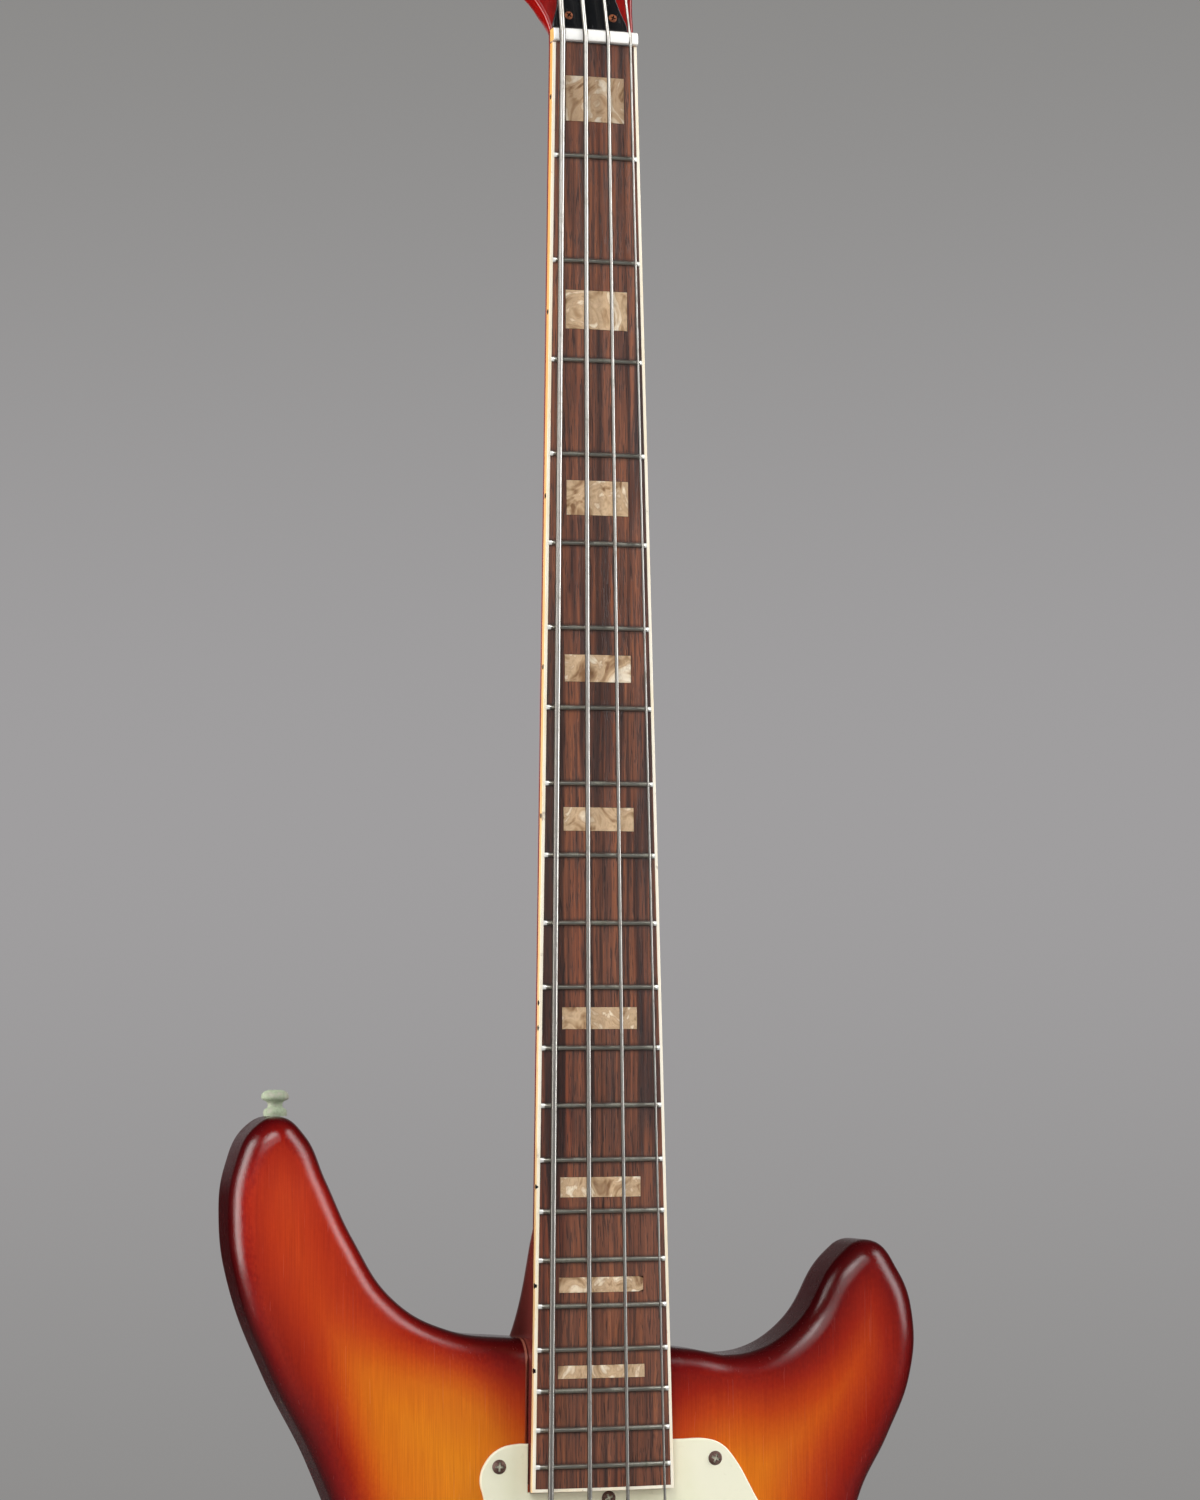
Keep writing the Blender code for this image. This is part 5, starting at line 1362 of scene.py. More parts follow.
def make_strings():
    tree = None
    for index, radius in enumerate(STRING_RADII):
        inputs = {"Radius": radius, "Pitch": STRING_PITCH[index], "Sides": 8,
                  "Rib Depth": STRING_PITCH[index] * 0.05, "Metal": STRING_METAL}
        tree = tree or winding_tree(inputs)
        wire = grown(tree, inputs, polyline(string_path(index)))
        a = string_a(index, STRING_SPREAD_BRIDGE)
        tail = FACE @ Matrix.Translation((a, -(SCALE + BRIDGE_BACK + GAP), STRING_HOLE_RISE)) \
            @ Matrix.Rotation(math.pi / 2, 4, "X")
        ball = lathe(((0, 0), (0.0016, 0), (0.0026, 0.0004), (0.0026, 0.0009), (0.0019, 0.0015),
                      (0.0026, 0.0021), (0.0026, 0.0026), (0.0016, 0.003), (0, 0.003)), tail, 24)
        ball.shade_smooth()
        dress(f"wound_string_{index + 1}", joined(wire, ball), None, STRING_METAL, "guitar",
              f"string_{index + 1}", slot="steel")


make_strings()


# %% [markdown]
# ## The nut, the rod cover and the guard
# The nut is a bar of bone with a round top and a slot filed for each string. The cover is a
# small bell of black plastic, and the guard a sheet with a bevelled edge and openings for
# all that it carries.

# %% Nut
def make_nut():
    """A bar of bone: flat ends, a round crown, and a slot for each string."""
    half = NUT_WIDTH / 2
    falls = ((GAP, 0.0009), (0.0005, 0.0003), (0.0012, 0.0), (0.0034, 0.0), (0.0048, 0.0003),
             (0.0054, 0.0008), (NUT_LENGTH - GAP, 0.0014))
    rings = []
    for share in [-1, -0.992, -0.97] + [i / 12 for i in range(-11, 12)] + [0.97, 0.992, 1]:
        a = share * half
        end = max(0.0, (abs(share) - 0.97) / 0.03) ** 2 * 0.0002
        top = NUT_RISE - board_sag(a) - end
        rings.append([FACE @ Vector(point) for point in (
            (a, NUT_START + GAP, BOARD_SEAT), *((a, NUT_START + b, top - fall) for b, fall in falls),
            (a, NUT_END - GAP, BOARD_SEAT))])
    slots = []
    for index, radius in enumerate(STRING_RADII):
        a_nut = string_a(index, STRING_SPREAD_NUT)
        at_nut, _ = string_rise(index)
        for tilt in (-1.2, 9.0):
            line = FACE @ Matrix.Translation((a_nut, NUT_START + NUT_LENGTH * 0.4, at_nut)) \
                @ Matrix.Rotation(math.pi / 2 - math.radians(tilt), 4, "X")
            reach = (0.0, 0.012) if tilt < 0 else (-0.012, 0.0)
            slots.append(lathe(((0, reach[1]), (radius + 0.00012, reach[1]),
                                (radius + 0.00012, reach[0]), (0, reach[0])), line, 20))
    mesh = carve(loft(rings), slots)
    dress("bone_nut", mesh, 35, NUT_BONE, "guitar", "string_nut", slot="bone")


make_nut()


# %% Guard and cover
def make_guard():
    top = board_width(GUARD_TOP) / 2 + GAP
    foot = -BOARD_LENGTH - GAP
    low = board_width(foot) / 2 + GAP
    notch = ((top, GUARD_TOP, "corner"), (low, foot, "corner"), (-low, foot, "corner"),
             (-top, GUARD_TOP, "corner"))
    width, length, corner = PICKUP_SIZE
    hole = (width + 2 * GAP, length + 2 * GAP, corner + GAP)
    holes = [rounded_box(*hole, at=(0, NECK_PICKUP_AT)), rounded_box(*hole, at=(0, BRIDGE_PICKUP_AT)),
             circle(0.0045, VOLUME_AT), circle(0.0045, TONE_AT), circle(0.0063, SELECTOR_AT)]
    mesh = slab((*GUARD_OUTLINE, *notch), GAP, GAP + 0.0025, edge=0.0007, holes=holes, smooth=True)
    dress("guard_sheet", mesh, 40, GUARD_PLASTIC, "guitar", "pickguard", slot="ivory_plastic")


def make_cover():
    mesh = slab(COVER_OUTLINE, GAP, GAP + 0.0016, HEAD, edge=0.0004, smooth=True)
    dress("rod_cover", mesh, 40, BLACK, "guitar", "truss_rod_cover", slot="black_plastic")


make_guard()
make_cover()

# %% [markdown]
# ## Screws and dots by Geometry Nodes
# Small hardware repeats: screws hold the guard, the rod cover, the tuners, the bridge and
# the jack, poles stand in the pickups, and dots mark the frets on the binding's side. Each
# is one shape set on many points. The points carry which way they face and how big they
# are; the tree turns each screw by chance, from a fixed seed, as a screwdriver leaves it.

# %% One tree for all that is set on points
def setting_tree(inputs):
    tree, given = geometry_tree("set_on_points", inputs)
    facing = signal(tree, "GeometryNodeInputNamedAttribute", {"Name": "facing"}, "Attribute",
                    data_type="FLOAT_VECTOR")
    size = signal(tree, "GeometryNodeInputNamedAttribute", {"Name": "size"}, "Attribute",
                  data_type="FLOAT")
    upright = signal(tree, "FunctionNodeAlignRotationToVector", {"Vector": facing}, axis="Z")
    chance = signal(tree, "FunctionNodeRandomValue", {
        2: 0.0, 3: given["Turning"], 8: given["Seed"]}, 1, data_type="FLOAT")
    spin = signal(tree, "FunctionNodeEulerToRotation", {0: vector(tree, z=chance)})
    turned = signal(tree, "FunctionNodeRotateRotation", {"Rotation": upright, "Rotate By": spin},
                    rotation_space="LOCAL")
    shape = signal(tree, "GeometryNodeObjectInfo", {"Object": given["Piece"]}, "Geometry")
    points = signal(tree, "GeometryNodeMeshToPoints", {"Mesh": given["Geometry"]})
    placed = signal(tree, "GeometryNodeInstanceOnPoints", {
        "Points": points, "Instance": shape, "Rotation": turned,
        "Scale": vector(tree, size, size, size)})
    return close_tree(placed, given["Finish"])


def set_pieces(name, piece, spots, finish, turning=6.28, seed=7):
    """The piece on each spot, given as (frame, place, direction, size in millimetres)."""
    inputs = {"Piece": piece, "Turning": turning, "Seed": seed, "Finish": finish}
    mesh = bpy.data.meshes.new(name)
    mesh.from_pydata([matrix @ Vector(place) for matrix, place, _, _ in spots], [], [])
    facing = [v for matrix, _, way, _ in spots for v in matrix.to_3x3() @ Vector(way)]
    mesh.attributes.new("facing", "FLOAT_VECTOR", "POINT").data.foreach_set("vector", facing)
    carry(mesh, "size", [size for _, _, _, size in spots])
    dress(name, grown(setting_tree(inputs), inputs, put(name, mesh)), 40, finish, "guitar")


print("setting tree ready")


# %% Screw heads
def make_head(cuts):
    """A screw's head, 1 mm in radius, with a slot or a cross cut into it."""
    head = lathe([(radius * MM, height * MM) for radius, height in (
        (0, 0.42), (0.3, 0.41), (0.58, 0.34), (0.82, 0.2), (0.96, 0.06), (1.0, -0.02),
        (0.98, -0.1), (0.5, -0.5), (0, -0.5))], Matrix(), 28)
    bits = [block((-0.62 * MM, -0.17 * MM, -0.1 * MM), (0.62 * MM, 0.17 * MM, MM),
                  Matrix.Rotation(math.radians(turn), 4, "Z")) for turn in cuts]
    mesh = carve(head, bits)
    # Marks the floor of the cut, for the painted shade in the screw's finish.
    carry(mesh, "recess", [float(v.co.z < 0.12 * MM and math.hypot(v.co.x, v.co.y) < 0.7 * MM)
                           for v in mesh.vertices])
    mesh.shade_smooth()
    return put("screw_head", mesh)


def make_dot():
    mesh = lathe(((0, 0.06 * MM), (0.9 * MM, 0.05 * MM), (MM, 0), (MM, -0.6 * MM),
                  (0, -0.6 * MM)), Matrix(), 24)
    mesh.shade_smooth()
    return put("dot_shape", mesh)


def tuner_frame(index):
    """A tuner's frame: its origin on the post's axis, its b along the row of posts."""
    turn = math.atan2(POST_STEP[0], POST_STEP[1])
    return HEAD @ Matrix.Translation((*post_at(index), 0)) @ Matrix.Rotation(-turn, 4, "Z")


OUT = (0, 0, 1)
BACKWARD = (0, 0, -1)
GUARD_SCREWS = ((-0.0439, -0.6069), (0.0512, -0.6062), (0.0038, -0.6214), (-0.0435, -0.6570),
                (-0.0440, -0.7460), (-0.0420, -0.8295), (0.0470, -0.8300), (0.0790, -0.8580),
                (0.1110, -0.8500), (0.1130, -0.7910), (0.0850, -0.6680))
COVER_SCREWS = ((-0.01065, 0.00648), (0.00923, 0.00652), (-0.0042, 0.0430))
SIDE_DOTS = (-22.7, -116.7, -196.5, -270.0, -333.6, -412.9, -423.5, -490.3, -531.7, -567.1)
CROSSED = make_head((0, 90))
SLOTTED = make_head((0,))
DOT = make_dot()
set_pieces("guard_screws", CROSSED, [(FACE, (a, b, GAP + 0.00245), OUT, 3.1)
                                     for a, b in GUARD_SCREWS], RUST)
set_pieces("cover_screws", CROSSED, [(HEAD, (a, b, GAP + 0.00155), OUT, 1.9)
                                     for a, b in COVER_SCREWS], COPPER_SCREW, seed=3)
set_pieces("tuner_screws", CROSSED, [
    (tuner_frame(i), (a, b, -HEAD_THICKNESS - GAP - 0.00145), BACKWARD, 1.9)
    for i in range(4) for a in (-0.0113, 0.0113) for b in (-0.0172, 0.0112)], STEEL)
set_pieces("bridge_screws", CROSSED, [
    (FACE, (a, -SCALE + b, GAP + 0.00245), OUT, 2.6)
    for a, b in ((-0.036, 0.0165), (0, 0.0165), (0.036, 0.0165), (-0.0385, -0.028),
                 (0.0385, -0.028))], STEEL, seed=5)
set_pieces("jack_screws", CROSSED, [(JACK, (a, b, GAP + 0.00195), OUT, 1.7)
                                    for a in (-0.009, 0.009) for b in (-0.0145, 0.0145)], STEEL)
set_pieces("pickup_poles", SLOTTED, [
    (FACE, (STRING_SPREAD_BRIDGE * (0.93 if middle == BRIDGE_PICKUP_AT else 0.9) * (i / 3 - 0.5),
            middle + b, 0.01095), OUT, 2.1)
    for middle in (NECK_PICKUP_AT, BRIDGE_PICKUP_AT) for i in range(4) for b in (-0.009, 0.009)],
    STEEL, turning=3.1, seed=2)
set_pieces("side_dots", DOT, [
    (Matrix(), (-board_width(z * MM) / 2, -(BOARD_SEAT + 0.0019), z * MM), (-1, 0, 0), 1.2)
    for z in SIDE_DOTS], BLACK, turning=0.0)
for shape in (CROSSED, SLOTTED, DOT):
    bpy.data.objects.remove(shape)
print("screws set:", len(GUARD_SCREWS), "in the guard")


# %% [markdown]
# ## Pickups and bridge
# A pickup's cover is a drawn metal box with soft edges, hollow over its coil. The bridge is
# a plate with a wall at its tail; each saddle slides on it under its own screw. They are
# flat outlines given thickness and a small round edge, then bored.

# %% Pickup covers
def bore(radius, low, high, matrix):
    """A cutter for a round hole along c of its frame."""
    return lathe(((0, high), (radius, high), (radius, low), (0, low)), matrix, 28)


def make_pickup(name, b):
    width, length, corner = PICKUP_SIZE
    seat = FACE @ Matrix.Translation((0, b, 0))
    shell = slab(rounded_box(width, length, corner), -0.006, 0.011, seat, edge=0.0015,
                 edge_steps=5)
    inside = slab(rounded_box(width - 0.002, length - 0.002, corner - 0.001), -0.009, 0.010, seat)
    dress(f"{name}_lid", carve(shell, [inside]), 40, CHROME, "guitar", f"{name}_cover",
          slot="chrome")


make_pickup("neck_pickup", NECK_PICKUP_AT)
make_pickup("bridge_pickup", BRIDGE_PICKUP_AT)


# %% Bridge plate
SADDLE_SCREW_RISE = 0.006
ALONG = Matrix.Rotation(-math.pi / 2, 4, "X")


def make_bridge():
    front, back = -SCALE + 0.022, -SCALE - BRIDGE_BACK
    plate = slab(rounded_box(0.086, front - back, 0.003, at=(0, (front + back) / 2)), GAP, 0.0028,
                 edge=0.0005)
    upright = FACE @ Matrix.Translation((0, back, 0)) @ Matrix.Rotation(math.pi / 2, 4, "X")
    holes = []
    for index, radius in enumerate(STRING_RADII):
        a = string_a(index, STRING_SPREAD_BRIDGE)
        holes.append(circle(radius + GAP, (a, STRING_HOLE_RISE), 20))
        holes.append(circle(0.0018, (a, SADDLE_SCREW_RISE), 20))
    wall = slab(rounded_box(0.082, 0.014, 0.002, at=(0, 0.0078)), -BRIDGE_WALL, 0, upright,
                edge=0.0004, holes=holes)
    dress("bridge_base", carve(plate, [wall], "UNION"), 40, CHROME, "guitar", "bridge_plate",
          slot="chrome")


make_bridge()


# %% Saddles and their screws
def make_saddle(index):
    """A sloping block with a groove for its string, bored for its screw."""
    a = string_a(index, STRING_SPREAD_BRIDGE)
    at_nut, at_bridge = string_rise(index)
    crown, floor = at_bridge - STRING_RADII[index] - GAP, 0.0031
    side = FACE @ Matrix.Translation((a, -SCALE, 0)) @ Matrix(
        ((0, 0, 1, 0), (1, 0, 0, 0), (0, 1, 0, 0), (0, 0, 0, 1)))
    profile = ((0.005, floor), (0.005, crown - 0.002), (0.0012, crown), (-0.0004, crown),
               (-0.007, crown - 0.0035), (-0.007, floor))
    body = slab(profile, -0.008, 0.008, side, edge=0.0005)
    tools = [bore(0.0018, -0.02, 0.02, FACE @ Matrix.Translation(
        (a, -SCALE, SADDLE_SCREW_RISE)) @ ALONG)]
    tools.append(bore(STRING_RADII[index] + 0.0006, -0.02, 0.02, FACE @ Matrix.Translation(
        (a, -SCALE, at_bridge)) @ ALONG))
    dress(f"saddle_block_{index + 1}", carve(body, tools), 35, CHROME, f"saddle_{index + 1}",
          f"saddle_{index + 1}", slot="chrome")


def make_saddle_screw(index):
    """A long screw: its thread is a row of ridges, and its head is slotted."""
    place = FACE @ Matrix.Translation((string_a(index, STRING_SPREAD_BRIDGE),
                                       -SCALE - BRIDGE_BACK, SADDLE_SCREW_RISE)) @ ALONG
    pitch, radius, tip = 0.0007, 0.0015, BRIDGE_BACK + 0.012
    profile = [(0, tip), (0.0011, tip)]
    profile += [(radius - (0.0 if i % 2 else 0.0003), tip - 0.0003 - pitch / 2 * i) for i in range(110)]
    profile += [(0.0013, -GAP), (0.0020, -GAP), (0.0022, -GAP - 0.0004), (0.0022, -GAP - 0.0016),
                (0.0017, -GAP - 0.002), (0, -GAP - 0.002)]
    slot_cut = block((-0.003, -0.0003, -GAP - 0.003), (0.003, 0.0003, -GAP - 0.0012), place)
    mesh = carve(lathe(profile, place, 16), [slot_cut])
    dress(f"intonation_screw_{index + 1}", mesh, 50, STEEL, f"saddle_adjuster_{index + 1}",
          f"saddle_screw_{index + 1}", slot="steel")


for index in range(4):
    make_saddle(index)
    make_saddle_screw(index)


# %% [markdown]
# ## The tuners
# These are open tuners: a worm on the key's shaft turns a gear on the post. The gear's teeth
# are an outline that follows a wave, and the button is an oval with a full round edge.

# %% Posts and ferrules
POST_HEIGHT = 0.0175
GEAR_TOP = -0.0182
WORM_B = -0.0124
WORM_C = -0.0207
KEY_REACH = 0.024


def make_post(index):
    frame_k = tuner_frame(index)
    profile = ((0, POST_HEIGHT), (0.0046, POST_HEIGHT), (0.0059, POST_HEIGHT - 0.0003),
               (0.0067, POST_HEIGHT - 0.001), (0.0066, POST_HEIGHT - 0.0016),
               (0.006, POST_HEIGHT - 0.003), (0.0059, 0.009), (0.006, 0.0036), (0.0064, 0.0028),
               (0.007, 0.0021), (0.0045, 0.0021), (0.0045, GEAR_TOP), (0.003, GEAR_TOP - 0.001),
               (0.003, GEAR_TOP - 0.0065), (0, GEAR_TOP - 0.0065))
    slot_cut = block((-0.0016, -0.01, WIND_HEIGHT + 0.0015), (0.0016, 0.01, POST_HEIGHT + 0.002),
                     frame_k)
    hole = bore(0.0016, -0.004, 0.002, frame_k @ Matrix.Translation((0, 0, POST_HEIGHT)))
    post = carve(lathe(profile, frame_k, 48), [slot_cut, hole])
    teeth = [(r * math.cos(t), r * math.sin(t)) for t, r in (
        (math.pi * i / 48, 0.0081 + 0.0004 * math.cos(math.pi * i / 3)) for i in range(96))]
    gear = slab(teeth, GEAR_TOP - 0.005, GEAR_TOP, frame_k, edge=0.0003)
    mesh = carve(post, [gear], "UNION")
    dress(f"winding_post_{index + 1}", mesh, 35, CHROME, f"post_{index + 1}",
          f"tuner_post_{index + 1}", slot="chrome")


def make_ferrule(index):
    top = GAP + 0.0015
    profile = ((0.0048, top - 0.0002), (0.005, top), (0.0076, top), (0.0084, top - 0.0003),
               (0.0089, top - 0.0008), (0.009, GAP), (0.0062, GAP), (0.0062, -0.008),
               (0.0048, -0.008), (0.0048, top - 0.0002))
    dress(f"ferrule_ring_{index + 1}", lathe(profile, tuner_frame(index), 48), 40, CHROME,
          "guitar", f"tuner_ferrule_{index + 1}", slot="chrome")


for index in range(4):
    make_post(index)
    make_ferrule(index)


# %% Keys and their plates
def make_key(index):
    """Worm, shaft, collar and oval button, turned about the worm's axis."""
    place = tuner_frame(index) @ Matrix.Translation((0, WORM_B, WORM_C))
    axis = place @ Matrix.Rotation(math.pi / 2, 4, "Y")
    half, shaft = 0.00675, 0.0022
    profile = [(0, half + 0.003), (shaft - 0.0003, half + 0.003), (shaft, half + 0.0026), (shaft, half)]
    profile += [(0.0036 if i % 2 else 0.0028, half - 2 * half * i / 14) for i in range(15)]
    profile += [(shaft, -half), (shaft, -0.0165), (0.0029, -0.017), (0.0032, -0.0185), (0.0026, -0.02),
                (0.0027, -KEY_REACH + 0.002), (0.0038, -KEY_REACH), (0.0038, -KEY_REACH - 0.004),
                (0, -KEY_REACH - 0.004)]
    oval = [(-KEY_REACH - 0.0105 + 0.0105 * math.cos(t), 0.0125 * math.sin(t))
            for t in (2 * math.pi * i / 56 for i in range(56))]
    button = slab(oval, -0.0025, 0.0025, place, edge=0.0017, edge_steps=6)
    mesh = carve(lathe(profile, axis, 32), [button], "UNION")
    dress(f"key_and_worm_{index + 1}", mesh, 40, CHROME, f"key_{index + 1}",
          f"tuner_key_{index + 1}", slot="chrome")


def make_tuner_plate(index):
    frame_k = tuner_frame(index)
    top = -(HEAD_THICKNESS + GAP)
    plate = slab(rounded_box(0.028, 0.034, 0.004, at=(0, -0.003)), top - 0.0015, top, frame_k,
                 edge=0.0003, holes=[circle(0.0048, steps=36)])
    ears = []
    for side in (-1, 1):
        near, far = sorted((side * 0.00755, side * 0.00905))
        profile = [(-WORM_B - 0.004, 0.0005 - top), (-WORM_B + 0.0045, 0.0005 - top)]
        profile += [(-WORM_B + 0.00025 + 0.00425 * math.cos(t), -WORM_C + 0.004 * math.sin(t))
                    for t in (math.pi * i / 14 for i in range(15))]
        turn = Matrix(((0, 0, 1, 0), (-1, 0, 0, 0), (0, -1, 0, 0), (0, 0, 0, 1)))
        ears.append(slab(profile, near, far, frame_k @ turn, edge=0.0002))
    shaft_hole = bore(0.0025, -0.012, 0.012, frame_k @ Matrix.Translation(
        (0, WORM_B, WORM_C)) @ Matrix.Rotation(math.pi / 2, 4, "Y"))
    mesh = carve(carve(plate, ears, "UNION"), [shaft_hole])
    dress(f"tuner_base_{index + 1}", mesh, 40, CHROME, "guitar", f"tuner_plate_{index + 1}",
          slot="chrome")


for index in range(4):
    make_key(index)
    make_tuner_plate(index)


# %% [markdown]
# ## Knobs, selector, jack and strap buttons
# Turned parts are a profile spun about an axis, as on a lathe. The knobs' knurling is the
# same turned wall, pulled in by a wave round its side. A line across each knob's top shows
# how far it is turned.

# %% Knobs
def knurl(mesh, matrix, least, count, depth):
    """Pull in a turned wall by a wave round its axis, where it is wider than least."""
    back_again = matrix.inverted()
    for vertex in mesh.vertices:
        place = back_again @ vertex.co
        radius = math.hypot(place.x, place.y)
        if radius > least:
            wave = 0.5 - 0.5 * math.cos(count * math.atan2(place.y, place.x))
            share = 1 - depth * wave / radius
            vertex.co = matrix @ Vector((place.x * share, place.y * share, place.z))
    return mesh


def make_knob(name, at):
    place = FACE @ Matrix.Translation((*at, 0))
    low, top = 0.0035, 0.0185
    wall = [(0.0108 - 0.0006 * i / 7, low + 0.0004 + (top - low - 0.0018) * i / 7) for i in range(8)]
    profile = [(0, top - 0.0005), (0.0072, top - 0.0005), (0.0078, top), (0.0092, top),
               (0.0099, top - 0.0005), *reversed(wall), (0.0106, low), (0.0075, low),
               (0.0075, 0.0061), (0.0033, 0.0061), (0.0033, 0.0138), (0, 0.0138)]
    mesh = knurl(lathe(profile, place, 144), place, 0.0100, 36, 0.0005)
    mark = block((-0.0005, 0.003, top - 0.0011), (0.0005, 0.0112, top + 0.001), place)
    dress(f"{name}_grip", carve(mesh, [mark]), 40, BLACK, name, f"{name}_knob",
          slot="black_plastic")


make_knob("volume", VOLUME_AT)
make_knob("tone", TONE_AT)


# %% Selector
def make_selector():
    place = FACE @ Matrix.Translation((*SELECTOR_AT, 0))
    floor, nut_low, nut_top, bore_radius = -0.0075, 0.0031, 0.0051, 0.0037
    barrel = ((0, floor), (bore_radius, floor), (bore_radius, nut_top), (0.0044, nut_top),
              (0.0078, nut_top), (0.0084, nut_top - 0.0004), (0.0085, nut_low), (0.006, nut_low),
              (0.006, -GAP), (0.0085, -GAP), (0.0085, -0.0243), (0, -0.0243))
    ring = knurl(lathe(barrel, place, 120), place, 0.0082, 30, 0.0003)
    dress("selector_barrel", ring, 40, CHROME, "guitar", "selector_frame", slot="steel")
    ball, stem, top = 0.0032, 0.0016, 0.021
    lower = [(ball * math.cos(t), ball * math.sin(t)) for t in (
        math.radians(60 - 12 * i) for i in range(11))]
    rod = [(0, top - 0.012), (stem, top - 0.012), (stem, 0.0030), *lower, (stem, -0.0058), (0, -0.0058)]
    dress("selector_stem", lathe(rod, place, 32), 40, STEEL, "selector", "selector_lever",
          slot="ivory_plastic")
    tip = [(0, top), (0.0013, top - 0.0001), (0.0023, top - 0.0006), (0.0029, top - 0.0015),
           (0.0031, top - 0.0027), (0.0029, top - 0.0045), (0.0024, top - 0.0075),
           (0.0021, top - 0.0091), (0.0018, top - 0.0092), (stem + 0.00003, top - 0.0092),
           (stem + 0.00003, top - 0.0118), (0, top - 0.0118)]
    dress("selector_tip", lathe(tip, place, 36), 40, IVORY, "selector")


make_selector()


# %% Jack and strap buttons
def make_jack():
    plate = slab(rounded_box(JACK_PLATE[0], JACK_PLATE[1], 0.004), GAP, GAP + 0.002, JACK, edge=0.0005,
                 holes=[circle(0.005, steps=36)])
    dress("jack_cover", plate, 40, CHROME, "guitar", "jack_plate", slot="chrome")
    low = 0.0026
    top = low + 0.0025
    end = top - 0.022
    hexagon = [(0.0075 * math.cos(math.pi * i / 3), 0.0075 * math.sin(math.pi * i / 3)) for i in range(6)]
    nut = slab(hexagon, low, top - 0.0004, JACK, edge=0.0002)
    tube = lathe(((0.0033, end + 0.002), (0, end + 0.002), (0, end), (0.006, end), (0.006, -0.001),
                  (0.0047, -0.001), (0.0047, top), (0.0036, top), (0.0033, top - 0.0003),
                  (0.0033, end + 0.002)), JACK, 40)
    hole = bore(0.0040, low - 0.001, top + 0.001, JACK)
    mesh = carve(tube, [carve(nut, [hole])], "UNION")
    dress("jack_nut_and_sleeve", mesh, 40, CHROME, "guitar", "jack_socket", slot="chrome")


def make_strap_button(name, at, turn):
    """A mushroom button: a domed head, a waist, and a flange on the wood."""
    place = FACE @ Matrix.Translation((*at, BODY_MIDDLE)) @ Matrix.Rotation(turn, 4, "X") @ ALONG
    profile = [(0, 0.0108), (0.0014, 0.0108), (0.0016, 0.0114), (0.0028, 0.01135),
               (0.0042, 0.0109), (0.0052, 0.0102), (0.0057, 0.0093), (0.0059, 0.0084),
               (0.0057, 0.0077), (0.0052, 0.0072), (0.0040, 0.0067), (0.0033, 0.0061),
               (0.0031, 0.0052), (0.0031, 0.0044), (0.0035, 0.0038), (0.0043, 0.0034),
               (0.0048, 0.0028), (0.00505, 0.0019), (0.0049, GAP), (0.002, GAP), (0.002, -0.024),
               (0, -0.024)]
    dress(f"{name}_knob", lathe(profile, place, 56), 40, VERDIGRIS, "guitar", name,
          slot="aged_brass")


make_jack()
make_strap_button("strap_button_horn", HORN_BUTTON_AT, 0)
make_strap_button("strap_button_tail", TAIL_BUTTON_AT, math.pi)


# %% [markdown]
# ## What stays as it was packed
# The coils, pots, shafts, leads and the rod inside the neck are simple shapes, and mostly
# hidden. They keep their solids and get a finish: copper wire, steel, brass, maple, and a
# waxed cloth whose braid is two sets of slanting threads.

# %% Cloth and maple
def make_cloth():
    material, tree = new_material("waxed_braid", Roughness=0.7)
    threads = [signal(tree, "ShaderNodeTexWave", {
        "Vector": stretched(tree, (1, 1, 1), (turn, turn, turn)), "Scale": 900.0,
        "Distortion": 0.4}, "Fac") for turn in (0.8, -0.8)]
    weave = threads[0].most(threads[1])
    return paint(material, (weave, 0.4, 0.0002), Roughness=weave.even(0.0, 1.0, 0.85, 0.6),
                 Base_Color=blend(weave, sRGB(66, 56, 44), sRGB(176, 160, 126)))


def make_maple():
    material, tree = new_material("maple", Roughness=0.5)
    grain = use(tree, GRAIN, Fibre=900.0, Length=18.0, Warp=0.002)
    return paint(material, (grain["Height"], 0.2, 0.0003),
                 Base_Color=grain["Fibres"].ramp((0.3, 178, 134, 84), (0.7, 216, 178, 126)),
                 Roughness=grain["Bands"].even(0.3, 0.7, 0.42, 0.6))


CARRIED = {"neck_pickup_coil": COPPER, "bridge_pickup_coil": COPPER, "volume_pot": STEEL,
           "tone_pot": STEEL, "volume_shaft": STEEL, "tone_shaft": STEEL, "truss_rod": STEEL,
           "truss_rod_nut": BRASS, "truss_rod_strip": make_maple(), "output_lead": make_cloth()}
CARRIED["neck_pickup_lead"] = CARRIED["bridge_pickup_lead"] = CARRIED["output_lead"]
for name, finish in CARRIED.items():
    for slot in bpy.data.objects[name].material_slots:
        slot.material = finish
print("carried over:", len(CARRIED))

# %% [markdown]
# ## Floor, light and air
# The picture was taken in a studio: an even grey behind, and two tall soft lights, one at
# each side, which draw the long pale streaks down the round edges. The world is the grey
# backdrop for the camera and for reflections, and a plain light for everything else. The
# floor is pale and lies just under the body's end.

# %% Floor
FLOOR_Z = cad_box[0].z - 0.004
FLOOR_RADIUS = 2.4


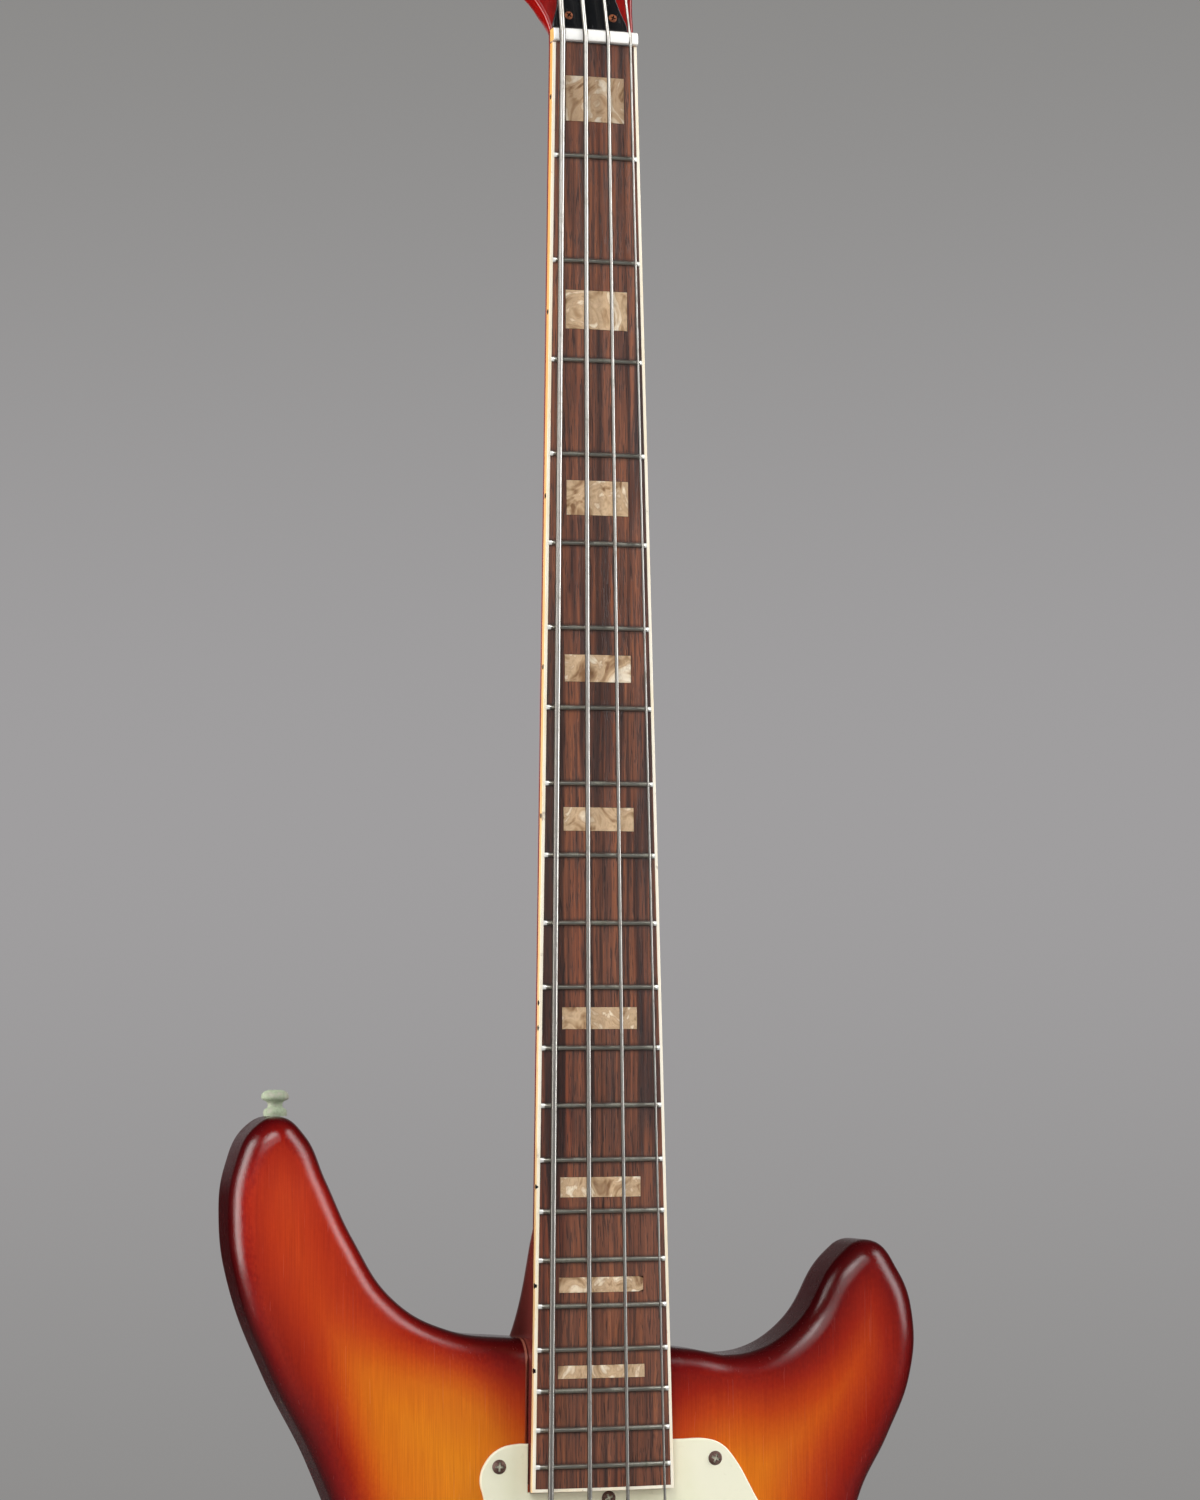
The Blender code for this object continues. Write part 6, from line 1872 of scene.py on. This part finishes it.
def make_floor():
    """A round pale floor; its rim fades into the backdrop, and lacquer barely mirrors it."""
    work = bmesh.new()
    bmesh.ops.create_circle(work, cap_ends=True, segments=96, radius=FLOOR_RADIUS)
    bmesh.ops.translate(work, vec=(0, 0, FLOOR_Z), verts=work.verts)
    floor = put("studio_floor", meshed(work))
    material, tree = new_material("pale_floor", Roughness=0.8)
    tone = stretched(tree, (2, 2, 2)).noise(1.0, 2.0)
    away = signal(tree, "ShaderNodeVectorMath", {0: stretched(tree, (1, 1, 0))}, "Value",
                  operation="LENGTH")
    mirrored = signal(tree, "ShaderNodeLightPath", output="Is Glossy Ray")
    solid = away.spread(0.9, FLOOR_RADIUS - 0.1, 1.0, 0.0) * mirrored.spread(0.0, 1.0, 1.0, 0.12)
    paint(material, Base_Color=blend(tone, sRGB(178, 177, 175), sRGB(187, 186, 184)), Alpha=solid)
    floor.data.materials.append(material)


make_floor()
print("floor at z", round(FLOOR_Z, 3))


# %% Lamps
def softbox(name, place, width, height, power, color=(1, 1, 1)):
    """A rectangular lamp that looks at the middle of the instrument."""
    lamp = bpy.data.lights.new(name, "AREA")
    lamp.shape = "RECTANGLE"
    lamp.size, lamp.size_y = width, height
    lamp.energy = power
    lamp.color = color
    item = bpy.data.objects.new(name, lamp)
    SCENE.collection.objects.link(item)
    item.location = place
    aim = Vector((0, 0, -0.42)) - Vector(place)
    item.rotation_euler = aim.to_track_quat("-Z", "Y").to_euler()
    print(name, power, "W")
    return item


softbox("left_softbox", (-1.9, 0.1, -0.1), 0.9, 2.0, 43, (1.0, 0.985, 0.97))
softbox("right_softbox", (1.6, -0.75, 0.35), 0.8, 2.0, 32, (0.985, 0.99, 1.0))
softbox("high_softbox", (-1.05, -1.62, 1.33), 0.7, 0.7, 15)
softbox("front_fill", (-1.1, -2.7, 1.4), 2.4, 2.0, 31)
softbox("back_fill", (0.5, 2.0, 1.9), 2.0, 1.4, 18).visible_glossy = False


# %% Backdrop in the world
def make_world():
    world = bpy.data.worlds.new("studio")
    world.use_nodes = True
    tree = world.node_tree
    tree.nodes.clear()
    camera_ray, glossy_ray, clear_ray = [signal(tree, "ShaderNodeLightPath", output=kind) for kind in (
        "Is Camera Ray", "Is Glossy Ray", "Is Transmission Ray")]
    x, y, z = axes(coordinates(tree, "Generated"))
    grey = blend(abs(z - 0.07).spread(0.0, 0.26), sRGB(160, 158, 159), sRGB(136, 135, 133))
    lit = (y - abs(x - 0.3)).spread(0.3, 0.7, 0.03, 1.0)
    lit = lit * z.spread(-0.02, 0.14, 0.03, 1.0).most(x.spread(-0.1, 0.1))
    lit = (lit + y.spread(-0.1, -0.5, 0.0, 0.35)) * z.spread(0.12, 0.45, 1.0, 0.3)
    backdrop = signal(tree, "ShaderNodeBackground", {"Color": grey, "Strength": lit.most(camera_ray)})
    ambient = signal(tree, "ShaderNodeBackground", {"Color": sRGB(236, 238, 242), "Strength": 0.42})
    both = signal(tree, "ShaderNodeMixShader", {
        0: camera_ray.most(glossy_ray.most(clear_ray)), 1: ambient, 2: backdrop})
    add(tree, "ShaderNodeOutputWorld", {0: both})
    SCENE.world = world


make_world()
SCENE.view_settings.view_transform = "Standard"
print("view transform:", SCENE.view_settings.view_transform)
